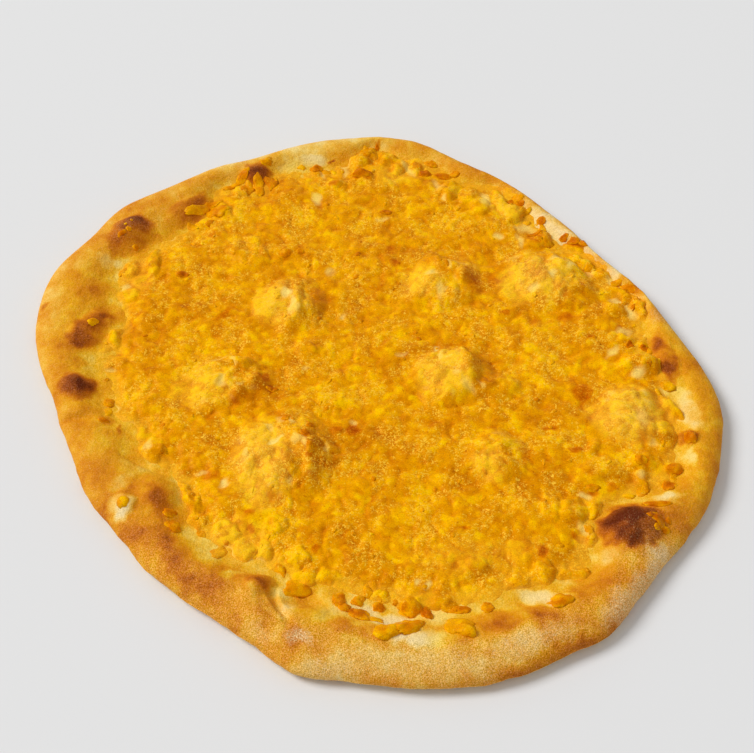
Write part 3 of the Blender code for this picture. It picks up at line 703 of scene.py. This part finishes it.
def melt(x, y):
    """The melted shreds: long lumps about 2.5 mm wide and round curds of 2 mm on slow swells,
    with more curds where the cheese has stayed crumbly. Gives the height, how deep in a crease a
    point lies, its tone, from orange to pale yellow, and how crumbly it is."""
    shred, shred_tone = lumps(*warped(x, y, 1.4, 6, 41), SHRED_SIZE, 31, 1.4)
    curd, curd_tone = lumps(x, y, CURD_SIZE, 32, 1.2)
    crumbly = smooth(0.5 + waves(CRUMBLY_WAVES, x, y))
    height = waves(SWELLS, x, y) + SHRED_HEIGHT * shred + (0.10 + 0.12 * crumbly) * curd
    crease = np.clip(-1.1 * shred - (0.2 + 0.5 * crumbly) * curd, 0, 1)
    tone = 0.14 + 0.42 * shred_tone + 0.28 * curd_tone + waves(TONE_WAVES, x, y)
    return height, crease, tone, crumbly


def cheese_inset(x, y):
    """How far a point lies inside the cheese's ragged edge."""
    heading, away = heading_of(x, y), np.hypot(x, y)
    edge = around(CHEESE_EDGE, heading) + waves(RAGGED_WAVES, x, y)
    return edge - away - spots(EDGE_BAYS, x, y, 1.0)


def cheese_over(x, y):
    """How far the cheese stands above the bread: a thickness that starts at the ragged edge and
    grows to the sheet's, with mounds and melted lumps. Below zero there is no cheese. Gives also
    its crease, tone, crumbliness and creaminess, and the height of the lumps along its edge."""
    inset = cheese_inset(x, y)
    relief, crease, tone, crumbly = melt(x, y)
    lip = CHEESE_LIP * (1 - np.exp(-np.clip(inset, 0, None) / 1.6)) + 0.6 * np.clip(inset, -6, 0)
    full = np.clip(CHEESE_TOP - bread_top(x, y) - CHEESE_LIP, 0, None)
    lump_x, lump_y = warped(x, y, 1.3, 4, 43)
    mound = spots(MOUNDS, *warped(x, y, 2.8, 11, 38), 1.1) * smooth(inset / 4.0)
    lump = np.zeros_like(x)
    for spot in EDGE_LUMPS:
        lump = np.maximum(lump, 1.25 * spot[5] * inside(spot, lump_x, lump_y) ** 0.6)
    ridge = np.zeros_like(x)
    for spot in SHREDS:
        ridge = np.maximum(ridge, spot[5] * inside(spot, lump_x, lump_y) ** 0.6)
    bare = np.clip(spots(CREAM_MARKS, lump_x, lump_y, 1.0), 0, 1)
    # The heaps have kept their clumps.
    clump, clump_tone = lumps(lump_x, lump_y, CLUMP_SIZE, 33, 1.3)
    clump = np.maximum(clump, -0.3)
    heaped = smooth(mound / 4.0)
    tone = tone + 0.4 * heaped * (clump_tone - 0.3) + 0.2 * ridge
    small, small_tone = lumps(lump_x, lump_y, SMALL_CLUMP_SIZE, 45, 1.4)
    tone = tone + 0.3 * heaped * (small_tone - 0.5)
    crumbly = np.clip(crumbly + 0.5 * heaped, 0, 1)
    curd = 0.45 * heaped * smooth((small_tone - 0.74) / 0.12) * smooth((small + 0.1) / 0.4)
    thick = lip + full * smooth(inset / CHEESE_SHOULDER) + mound + CLUMP_HEIGHT * heaped * clump
    thick = thick + relief * smooth((inset + 0.5) / 6.0) * (1 - 0.7 * bare)
    thick = thick + lump + ridge - 0.5 * bare
    return thick, crease, tone, crumbly, np.maximum(bare, curd), lump


def painted_heap_light(x, y):
    """The painted light and shade on the heaps: how much lighter and curdier the lit sides, and how
    much deeper amber the shaded flanks, are coloured.
    """
    marked = spots(HEAP_LIGHT_AND_SHADE_MARKS, *warped(x, y, 3.5, 9, 61), 0.7)
    return marked, 0.3 * np.clip(marked, 0, None)


def cheese_top(x, y):
    """Height of the cheese where there is any, or else of the bread."""
    return bread_top(x, y) + np.clip(cheese_over(x, y)[0], 0, None)


# A square grid is pressed into a disc (squares become rings, and lines through the middle stay
# straight), then stretched to the cheese's reach at each heading.
side = np.linspace(-1, 1, SHEET_STEPS + 1)
u, v = np.meshgrid(side, side)
wide = np.abs(u) > np.abs(v)
big = np.where(wide, u, v)
small = np.where(wide, v, u)
turn = np.pi / 4 * small / np.where(big == 0, 1, big)
turn = np.where(wide, turn, np.pi / 2 - turn)
reach = around(CHEESE_EDGE, np.degrees(np.where(big < 0, turn + np.pi, turn))) + CHEESE_REACH
x, y = big * np.cos(turn) * reach, big * np.sin(turn) * reach
thick, crease, tone, crumbly, bare, lump = cheese_over(x, y)
z = bread_top(x, y) + np.maximum(thick, -2.0)
thin = 1 - smooth(thick / 1.7)
grid = np.arange((SHEET_STEPS + 1) ** 2).reshape(SHEET_STEPS + 1, -1)
sheet_quads = np.stack([grid[:-1, :-1], grid[:-1, 1:], grid[1:, 1:], grid[1:, :-1]], axis=-1)
# Each is cut along the way to the middle, since the disc bends the other diagonal.
outward = (u[:-1, :-1] + u[1:, 1:]) * (v[:-1, :-1] + v[1:, 1:]) < 0
sheet_quads = np.where(outward[..., None], np.roll(sheet_quads, 1, axis=-1),
                       sheet_quads).reshape(-1, 4)
sheet_points = np.stack([x, y, z], axis=-1).reshape(-1, 3)
# A skirt from the border down into the bread, and a floor, close the sheet.
border = np.concatenate([grid[0, :-1], grid[:-1, -1], grid[-1, :0:-1], grid[:0:-1, 0]])
low_points = sheet_points[border] * FLOOR_SHARE
low_points[:, 2] = SHEET_FLOOR
low = len(sheet_points) + np.arange(len(border))
next_low, next_border = np.roll(low, -1), np.roll(border, -1)
skirt = np.stack([border, low, next_low, next_border], axis=1)
floor = np.stack([low, np.full(len(low), low[-1] + 1), next_low], axis=1)
all_points = np.concatenate([sheet_points, low_points, [[0, 0, SHEET_FLOOR]]])
# In the bake's square the top keeps its grid, and the skirt and the floor are strips beside it.
sheet_places = np.stack([0.47 + 0.465 * u, 0.47 + 0.465 * v], axis=-1).reshape(-1, 2)
step = np.arange(len(border))[:, None] / len(border)
skirt_u = step + np.array([0, 0, 1, 1]) / len(border)
skirt_uv = np.stack([0.95 + 0.02 * np.array([[0, 1, 1, 0]]) + 0 * step, skirt_u], axis=-1)
floor_u = step + np.array([0, 0.5, 1]) / len(border)
floor_uv = np.stack([0.975 + 0.02 * np.array([[0, 1, 0]]) + 0 * step, floor_u], axis=-1)


def pad(values, fill):
    """The sheet's values, and one for each vertex of the skirt and floor."""
    return np.concatenate([values.ravel(), np.full(len(border) + 1, fill)])


# Browning, with the painted shade on the heaps' right flanks.
browned = np.clip(spots(CHEESE_TOAST_AND_FLANK_SHADE, *warped(x, y, 1.2, 4, 51), 0.8), 0, 1)
browned = browned + waves(BROWNED_WAVES, x, y)
# Painted light and shade of the heaps, with lighter edge lumps and a random tone added.
painted_light_and_tone, curds_and_painted_light = painted_heap_light(x, y)
painted_light_and_tone = painted_light_and_tone + 0.18 * smooth(lump / 1.2) + 0.08 * noise(x, y, 16, 56)

# Melted yellow cheese: a soft waxy mass with a weak sheen. Its tone runs from deep amber to bright
# yellow on the lumps; it is brown where it has toasted and cream where curd or dough shows
# through. Painted into its colour are shade in its creases, between its curds, in tiny pits and on
# the heaps' shaded flanks, light on the heaps' lit sides, and short pale glints, as highlights.
cheese, tree = new_material("melted_cheese")
where = add(tree, "TexCoord").outputs["Object"]
tone_value, crease_shade_value, crumbly_value, browned_value, cream_value, thin_value = (
    add(tree, "Attribute", {"attribute_name": name}).outputs["Fac"]
    for name in ("tone", "crease", "crumbly", "browned", "cream", "thin"))
warp = add(tree, "TexNoise", {"Scale": 1 / (2.5 * MM), "Detail": 2.0}, Vector=where)
bent = add(tree, "VectorMath", {"operation": "MULTIPLY_ADD", 1: (1.4 * MM,) * 3},
           i0=warp.outputs["Color"], i2=where)
pieces = add(tree, "TexVoronoi", {"Scale": 1 / (2.4 * MM)}, Vector=bent)
curds = pieces.outputs["Distance"]
grain = add(tree, "TexNoise", {"Scale": 1 / (0.8 * MM), "Detail": 2.0, "Roughness": 0.6},
            Vector=where)
glint = add(tree, "TexNoise", {"Scale": 1 / (0.9 * MM), "Detail": 0.0, "Distortion": 1.4},
            Vector=bent)
glint_line_noise = add(tree, "TexNoise", {"Scale": 1 / (2.2 * MM), "Detail": 1.0, "Roughness": 0.6},
           Vector=bent)
pit = add(tree, "TexNoise", {"Scale": 1 / (1.3 * MM), "Detail": 1.0}, Vector=bent)
# Painted shade and light: darker between the curds and paler on their tops, most where crumbly.
rounded = add(tree, "Math", {"operation": "MULTIPLY_ADD", 1: -0.25, 2: 0.12}, i0=curds)
strong = add(tree, "Math", {"operation": "MULTIPLY_ADD", 1: 1.0, 2: 0.25}, i0=crumbly_value)
curdled = add(tree, "Math", {"operation": "MULTIPLY_ADD"}, i0=rounded, i1=strong, i2=tone_value)
pieced = add(tree, "Math", {"operation": "MULTIPLY_ADD", 1: 0.36}, i0=pieces.outputs["Color"],
             i2=curdled)
grainy = add(tree, "Math", {"operation": "MULTIPLY_ADD", 1: 0.3}, i0=grain, i2=pieced)
toned = add(tree, "Math", {"operation": "SUBTRACT", 1: 0.22}, i0=grainy)
mass = add(tree, "ValToRGB", {"stops": [
    (0.0, "#c87200"), (0.2, "#d68200"), (0.4, "#e29000"), (0.6, "#ec9e00"), (0.8, "#f6ae00"),
    (1.0, "#ffc300")]}, Fac=toned)
# Painted shade in the creases: they are multiplied darker and deeper amber.
painted_crease_shade = add(tree, "Math", {"operation": "MULTIPLY", 1: 0.6}, i0=crease_shade_value)
shaded = add(tree, "Mix", {"data_type": "RGBA", "blend_type": "MULTIPLY", 7: linear("#eecf78")},
             i0=painted_crease_shade, i6=mass)
glint_chance = add(tree, "Math", {"operation": "MULTIPLY_ADD", 1: 0.22}, i0=crumbly_value, i2=glint)
glint_specks = add(tree, "Math", {"operation": "MULTIPLY_ADD", 1: 7.0, 2: -5.4, "use_clamp": True},
             i0=glint_chance)
# The glints, painted highlights: thin strokes where one noise passes its middle, cut short where
# another is low, and dots where that one is highest.
off_line = add(tree, "Math", {"operation": "SUBTRACT", 1: 0.5}, i0=glint_line_noise)
far_off = add(tree, "Math", {"operation": "ABSOLUTE"}, i0=off_line)
lines = add(tree, "Math", {"operation": "MULTIPLY_ADD", 1: -13.0, 2: 1.3, "use_clamp": True},
            i0=far_off)
short = add(tree, "Math", {"operation": "MULTIPLY_ADD", 1: 6.0, 2: -4.3, "use_clamp": True},
            i0=glint_chance)
glint_strokes = add(tree, "Math", {"operation": "MULTIPLY"}, i0=lines, i1=short)
light = add(tree, "Math", {"operation": "MAXIMUM"}, i0=glint_strokes, i1=glint_specks)
painted_glints = add(tree, "Mix", {"data_type": "RGBA", 7: linear("#ffc638")}, i0=light, i6=shaded)
# Painted shade in tiny pits: dark dots multiplied in.
pits = add(tree, "Math", {"operation": "MULTIPLY_ADD", 1: -7.0, 2: 2.5, "use_clamp": True}, i0=pit)
pit_shaded = add(tree, "Mix", {"data_type": "RGBA", "blend_type": "MULTIPLY", 7: linear("#e4cc88")},
             i0=pits, i6=painted_glints)
scorch = add(tree, "Math", {"operation": "MULTIPLY_ADD", 1: 0.30}, i0=grain, i2=browned_value)
toasted = add(tree, "ValToRGB", {"stops": [
    (0.2, "#ffffff"), (0.45, "#eecc88"), (0.75, "#d09c50"), (1.0, "#ac6828")]}, Fac=scorch)
browned_mass = add(tree, "Mix", {"data_type": "RGBA", "blend_type": "MULTIPLY", 0: 1.0},
                   i6=pit_shaded, i7=toasted)
stained = add(tree, "Math", {"operation": "MULTIPLY", 1: 0.5}, i0=thin_value)
melted = add(tree, "Mix", {"data_type": "RGBA", 7: linear("#f2b428")}, i0=stained, i6=browned_mass)
creamy = add(tree, "Math", {"operation": "MULTIPLY", 1: 0.85, "use_clamp": True}, i0=cream_value)
creamed = add(tree, "Mix", {"data_type": "RGBA", 7: linear("#ffe27c")}, i0=creamy, i6=melted)
grit = add(tree, "TexNoise", {"Scale": 1 / (0.45 * MM), "Detail": 2.0, "Roughness": 0.7},
           Vector=where)
gritty = add(tree, "Math", {"operation": "MULTIPLY_ADD", 1: 1.0, 2: 0.5}, i0=grit)
topping = add(tree, "HueSaturation", Value=gritty, Color=creamed)
uneven = add(tree, "Math", {"operation": "MULTIPLY_ADD", 1: -0.8}, i0=curds, i2=grain)
rough = add(tree, "Math", {"operation": "MULTIPLY"}, i0=uneven, i1=strong)
grains = add(tree, "Bump", {"Strength": 0.35, "Distance": 0.45 * MM}, Height=rough)
cheese_shader = add(tree, "BsdfPrincipled", {
    "Roughness": 0.3, "Specular IOR Level": 0.08, "Specular Tint": linear("#ffd860")},
                    Base_Color=topping, Normal=grains)
add(tree, "OutputMaterial", Surface=cheese_shader)

sheet = piece_from_arrays(
    "cheese_sheet", all_points,
    np.concatenate([two_triangles(sheet_quads), two_triangles(skirt), floor]), cheese,
    {"tone": pad(tone + painted_light_and_tone, 0.5), "crease": pad(crease, 0), "crumbly": pad(crumbly, 0),
     "browned": pad(browned, 0), "cream": pad(np.clip(bare + curds_and_painted_light, 0, 1), 0), "thin": pad(thin, 0)},
    np.concatenate([two_triangles(sheet_places[sheet_quads]), two_triangles(skirt_uv), floor_uv]))
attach(sheet, "root")
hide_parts("cheese_layer")

# ---- Cheese lumps and crumbs ---------------------------------------------------------------
# Lumps, crumbs and shreds of the same cheese that fell on the rim and on the heaps and set
# there: smooth rounded pieces, yellow to orange, and brown on the tips that stood nearest to the
# oven's roof. x, y, length, width, turn, height, how browned.
LUMPS = [
    (6, -118, 11, 7, 25, 4.2, 0.15), (13, -115.5, 12, 7, 12, 4.8, 0.45),
    (32.5, -116, 12, 9, -25, 4.6, 0.10), (68.5, -105, 9.5, 6.5, 12, 3.9, 0.45),
    (-28, -98.5, 9.5, 7.5, 15, 3.6, 0.30), (-12, -103.5, 5, 7.5, 0, 3.2, 0.65),
    (-10, -107, 5, 4, -30, 2.6, 0.45), (-4.5, -110, 8, 5.2, -22, 3.2, 0.75),
    (1, -112, 7, 3.2, -18, 1.8, 0.0), (2.5, -106, 5, 4.2, 0, 2.6, 0.6),
    (-5, -103.5, 5, 5, 0, 2.6, 0.5), (20, -108.5, 4, 5.5, 15, 2.6, 1.0),
    (14, -106.5, 8, 7, 0, 2.8, 0.25), (32, -107, 7, 4, 0, 2.2, 0.5),
    (42.5, -106.5, 5, 5, 0, 2.0, 0.45), (-75, -72, 6, 4.6, -20, 2.4, 0.45),
    (-77, -66, 5, 4, 0, 2.2, 0.7), (-94.5, -62.5, 5, 4.4, 20, 2.0, 0.35),
    (-114.8, 27, 4.5, 3.6, 30, 2.0, 0.15), (-103, 81, 1.5, 1.3, 0, 0.9, 0.3),
    (-105.5, 78.5, 1.4, 1.2, 0, 0.8, 0.3), (-107, 74, 4.2, 2.2, 30, 1.3, 0.4),
    (-104, 76, 2.6, 1.8, -40, 1.1, 0.4), (-101, 70, 2.4, 2.0, 0, 1.2, 0.3),
    (-105, -12, 4.2, 4.2, 0, 2.4, 0.55), (108, -71, 6, 5, -30, 2.2, 0.65),
    (105, -70, 3.4, 2.4, 20, 1.5, 0.75), (110, -74, 3.6, 3.8, 0, 1.6, 0.45),
    (107, -74.5, 3, 2.2, 50, 1.2, 0.7), (112, -70.5, 2.6, 2.6, 0, 1.2, 0.8),
    (108, -62.5, 10, 3, -5, 2.2, 0.65), (73, 86, 4.5, 3.2, -20, 1.8, 0.6),
    (86, 73.5, 5, 3.4, -20, 1.8, 0.75), (82, 76, 3.6, 3, 0, 1.6, 0.65),
    (90, 71.5, 4.2, 3, 0, 1.7, 0.7), (60, 97.5, 3.2, 3, 0, 1.6, 0.75),
    (64.5, 97, 3.4, 3, 0, 1.6, 0.6), (23, 114, 5, 4.2, 0, 2.6, 1.0),
    (31, 113, 8, 4, -8, 2.4, 0.7), (26, 121, 5.4, 3.6, -25, 1.9, 0.4),
    (36, 114, 4.2, 3, 0, 1.7, 0.4), (-25, 118, 5.2, 4.2, 0, 2.2, 0.75),
    (-5, 112.5, 9.5, 4.2, -8, 2.6, 0.8), (6, 90, 4.4, 2.6, 0, 1.7, 0.85),
    (-80, 54, 6, 3.4, -10, 1.7, 0.9), (2, 131, 2, 2.6, 0, 1.2, 0.8),
    (-47, 120, 5.4, 4.2, 20, 1.9, 0.35), (-57, 112, 4, 9, -35, 1.6, 0.45),
    (-50, 107, 4.5, 11, 8, 1.8, 0.35), (-44, 109, 3.2, 8, -15, 1.6, 0.45),
    (-62, 107, 8, 3, 30, 1.3, 0.4), (-75, 92, 4, 13, -62, 1.6, 0.35),
    (-70, 96, 9, 4, 35, 1.5, 0.45), (-67, 91, 9, 7, 0, 1.9, 0.3),
    (-26, -33, 5, 3.2, -30, 2.2, 0.9), (-24, -27, 3.6, 3, 0, 1.9, 0.7),
    (-24, -40, 2.6, 4.4, 10, 1.8, 0.6), (-34, -23, 3.4, 2.6, 0, 1.6, 0.6),
    (-40, -7, 4, 2.8, 0, 1.8, 0.8), (-37, 66, 4.6, 4.2, 0, 1.5, 0.55),
    (-31, 67, 3.2, 3, 0, 1.3, 0.5), (117, -45, 7, 5, 20, 2.2, 0.55),
    (114, -53, 5.5, 5, 0, 2.0, 0.7), (104, -42, 5, 4, 0, 1.8, 0.5), (85, -54, 5, 3, 0, 1.6, 0.5),
    (124.5, -31, 4.5, 6, 10, 2.2, 0.95), (70, 79, 8, 1.8, 18, 1.3, 0.7),
    (107, 48, 7, 3, -30, 1.6, 0.6), (105, 17, 3.6, 3, 0, 1.5, 0.7), (111, 16, 4, 3, 0, 1.5, 0.75),
    (-106, -22, 4, 3, 0, 1.5, 0.7),
]
LUMP_RINGS, LUMP_SIDES = 13, 20


def blobs(places, rings, sides, surface, sunk, seed, uneven):
    """Closed rounded lumps, one for each row x, y, length, width, turn, height, bend of places.
    Each is a sphere of so many rings and sides, pushed in and out by noise, stretched to its
    size, bent sideways by the square of the way along it and laid on the surface, a function
    of x and y, with that share of its height sunk in it. Gives the points, the triangles, their
    places in the bake's square, one cell a lump, and each vertex's lump and level in it."""
    count = len(places)
    rise = (np.arange(rings) + 1) / (rings + 1) * np.pi - np.pi / 2
    spin = np.arange(sides) * 2 * np.pi / sides
    ring = np.cos(rise)[:, None]
    ball = np.stack([ring * np.cos(spin), ring * np.sin(spin),
                     np.broadcast_to(np.sin(rise)[:, None], (rings, sides))], axis=-1)
    ball = np.concatenate([ball.reshape(-1, 3), [[0, 0, -1], [0, 0, 1]]])
    row = np.arange(count)[:, None]
    push = noise(1.1 * ball[:, 0] + 0.8 * ball[:, 2] + 3.7 * row,
                 1.1 * ball[:, 1] - 0.7 * ball[:, 2] + 5.3 * row, 1.0, seed)
    push += 0.5 * noise(2.3 * ball[:, 0] + 1.7 * ball[:, 2] + 4.1 * row,
                        2.3 * ball[:, 1] - 1.3 * ball[:, 2] + 6.1 * row, 1.0, seed + 1)
    shape = ball * (1 + uneven * push)[..., None]
    x, y, length, width, turn, height, bend = (places[:, k, None] for k in range(7))
    along = 0.5 * length * shape[..., 0]
    across = 0.5 * width * shape[..., 1] + bend * (shape[..., 0] ** 2 - 0.4)
    c, s = np.cos(np.radians(turn)), np.sin(np.radians(turn))
    px, py = x + along * c - across * s, y + along * s + across * c
    pz = surface(px, py) + height * (0.5 - sunk + 0.5 * shape[..., 2])
    points = np.stack([px, py, pz], axis=-1).reshape(-1, 3)
    here = np.arange(sides)
    there = (here + 1) % sides
    starts = (np.arange(rings - 1) * sides)[:, None]
    quads = np.stack([starts + here, starts + there, starts + sides + there,
                      starts + sides + here], axis=-1).reshape(-1, 4)
    low, top = np.full(sides, rings * sides), np.full(sides, rings * sides + 1)
    last = (rings - 1) * sides
    single = np.concatenate([two_triangles(quads), np.stack([low, there, here], axis=1),
                             np.stack([last + here, last + there, top], axis=1)])
    level, step = np.divmod(np.arange(rings * sides), sides)
    u, v = step / sides, (level + 1) / (rings + 1)
    next_u = u + 1 / sides
    next_v = v + 1 / (rings + 1)
    cell_quads = np.stack([np.stack([u, v], 1), np.stack([next_u, v], 1),
                           np.stack([next_u, next_v], 1), np.stack([u, next_v], 1)], axis=1)
    middle = (here + 0.5) / sides
    fan_low = np.stack([np.stack([middle, 0 * middle], 1), cell_quads[:sides, 1],
                        cell_quads[:sides, 0]], axis=1)
    fan_top = np.stack([cell_quads[-sides:, 0], cell_quads[-sides:, 1],
                        np.stack([middle, 0 * middle + 1], 1)], axis=1)
    cell_uv = np.concatenate([two_triangles(cell_quads[:-sides]), fan_low, fan_top])
    across_square = int(np.ceil(np.sqrt(count)))
    corner = np.stack(np.divmod(np.arange(count), across_square), axis=1)[:, None, None]
    uv = (corner + 0.04 + 0.92 * cell_uv) / across_square
    faces = (single + np.arange(count)[:, None, None] * len(ball)).reshape(-1, 3)
    lump = np.repeat(np.arange(count), len(ball))
    return points, faces, uv.reshape(-1, 3, 2), lump, np.tile(0.5 + 0.5 * ball[:, 2], count)


listed = np.array(LUMPS)
places = np.column_stack([listed[:, :6], np.zeros(len(listed))])
points, faces, uv, lump, level = blobs(
    places, LUMP_RINGS, LUMP_SIDES, cheese_top, sunk=0.5, seed=71, uneven=0.36)
x, y = points[:, 0], points[:, 1]
browned = 0.55 * listed[lump, 6] * smooth((level - 0.45) / 0.5) + 0.25 * noise(x, y, 3, 73)
tone = 0.66 + 0.25 * noise(x, y, 4, 74) - 0.15 * listed[lump, 6]
nothing = np.zeros(len(points))
lumps_piece = piece_from_arrays(
    "set_cheese_lumps", points, faces, cheese,
    {"tone": tone, "crease": nothing, "crumbly": nothing + 0.25, "browned": browned,
     "cream": nothing, "thin": nothing}, uv)
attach(lumps_piece, "root")
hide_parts(*(f"cheese_lump_{number}" for number in range(1, 7)))

# ---- Cheese crumbs -------------------------------------------------------------------------
# Crumbs of cheese, 1.8 to 3.6 mm long, that softened without running out: low rounded bumps,
# more than half sunk in the sheet, most of them where it is crumbly, and larger curds along its
# edge.
CRUMB_TRIES = 260
EDGE_CURDS = 44
CRUMB_RINGS, CRUMB_SIDES = 5, 9

chance = np.random.default_rng(91)
away = np.sqrt(chance.uniform(0, 1, CRUMB_TRIES))
turned = chance.uniform(0, 360, CRUMB_TRIES)
away = away * (around(CHEESE_EDGE, turned) - 0.5)
x, y = away * np.cos(np.radians(turned)), away * np.sin(np.radians(turned))
kept = chance.uniform(0, 1, CRUMB_TRIES) < 0.25 + 0.6 * melt(x, y)[3]
x, y = x[kept], y[kept]
places = np.column_stack([
    x, y, chance.uniform(1.8, 3.6, len(x)), chance.uniform(1.4, 2.4, len(x)),
    chance.uniform(0, 180, len(x)), chance.uniform(0.8, 1.4, len(x)), np.zeros(len(x))])
# Larger curds lie along the edge, where they hide it here and there.
turned = chance.uniform(0, 360, EDGE_CURDS)
away = around(CHEESE_EDGE, turned) + chance.normal(-1.5, 2.4, EDGE_CURDS)
x, y = away * np.cos(np.radians(turned)), away * np.sin(np.radians(turned))
size = chance.uniform(4.0, 8.5, EDGE_CURDS)
curds_at = np.column_stack([
    x, y, size, size * chance.uniform(0.45, 0.8, EDGE_CURDS), chance.uniform(0, 180, EDGE_CURDS),
    0.24 * size + 0.4, chance.uniform(-0.6, 0.6, EDGE_CURDS)])
curds_at = curds_at[spots(EDGE_BAYS, x, y, 1.0) < 1.0]
places = np.concatenate([places, curds_at])
points, faces, uv, lump, _ = blobs(
    places, CRUMB_RINGS, CRUMB_SIDES, cheese_top, sunk=0.7, seed=93, uneven=0.4)
x, y = points[:, 0], points[:, 1]
# The crumbs take the painted light and shade of the heaps they lie on.
painted_light_and_tone, curds_and_painted_light = painted_heap_light(x, y)
tone = melt(x, y)[2] + painted_light_and_tone + chance.uniform(-0.05, 0.25, len(places))[lump]
nothing = np.zeros(len(points))
crumbs = piece_from_arrays(
    "cheese_crumbs", points, faces, cheese,
    {"tone": tone, "crease": nothing, "crumbly": nothing + 0.5,
     "browned": 0.3 * chance.uniform(0, 1, len(places))[lump] ** 3, "cream": curds_and_painted_light,
     "thin": nothing}, uv)
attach(crumbs, "root")
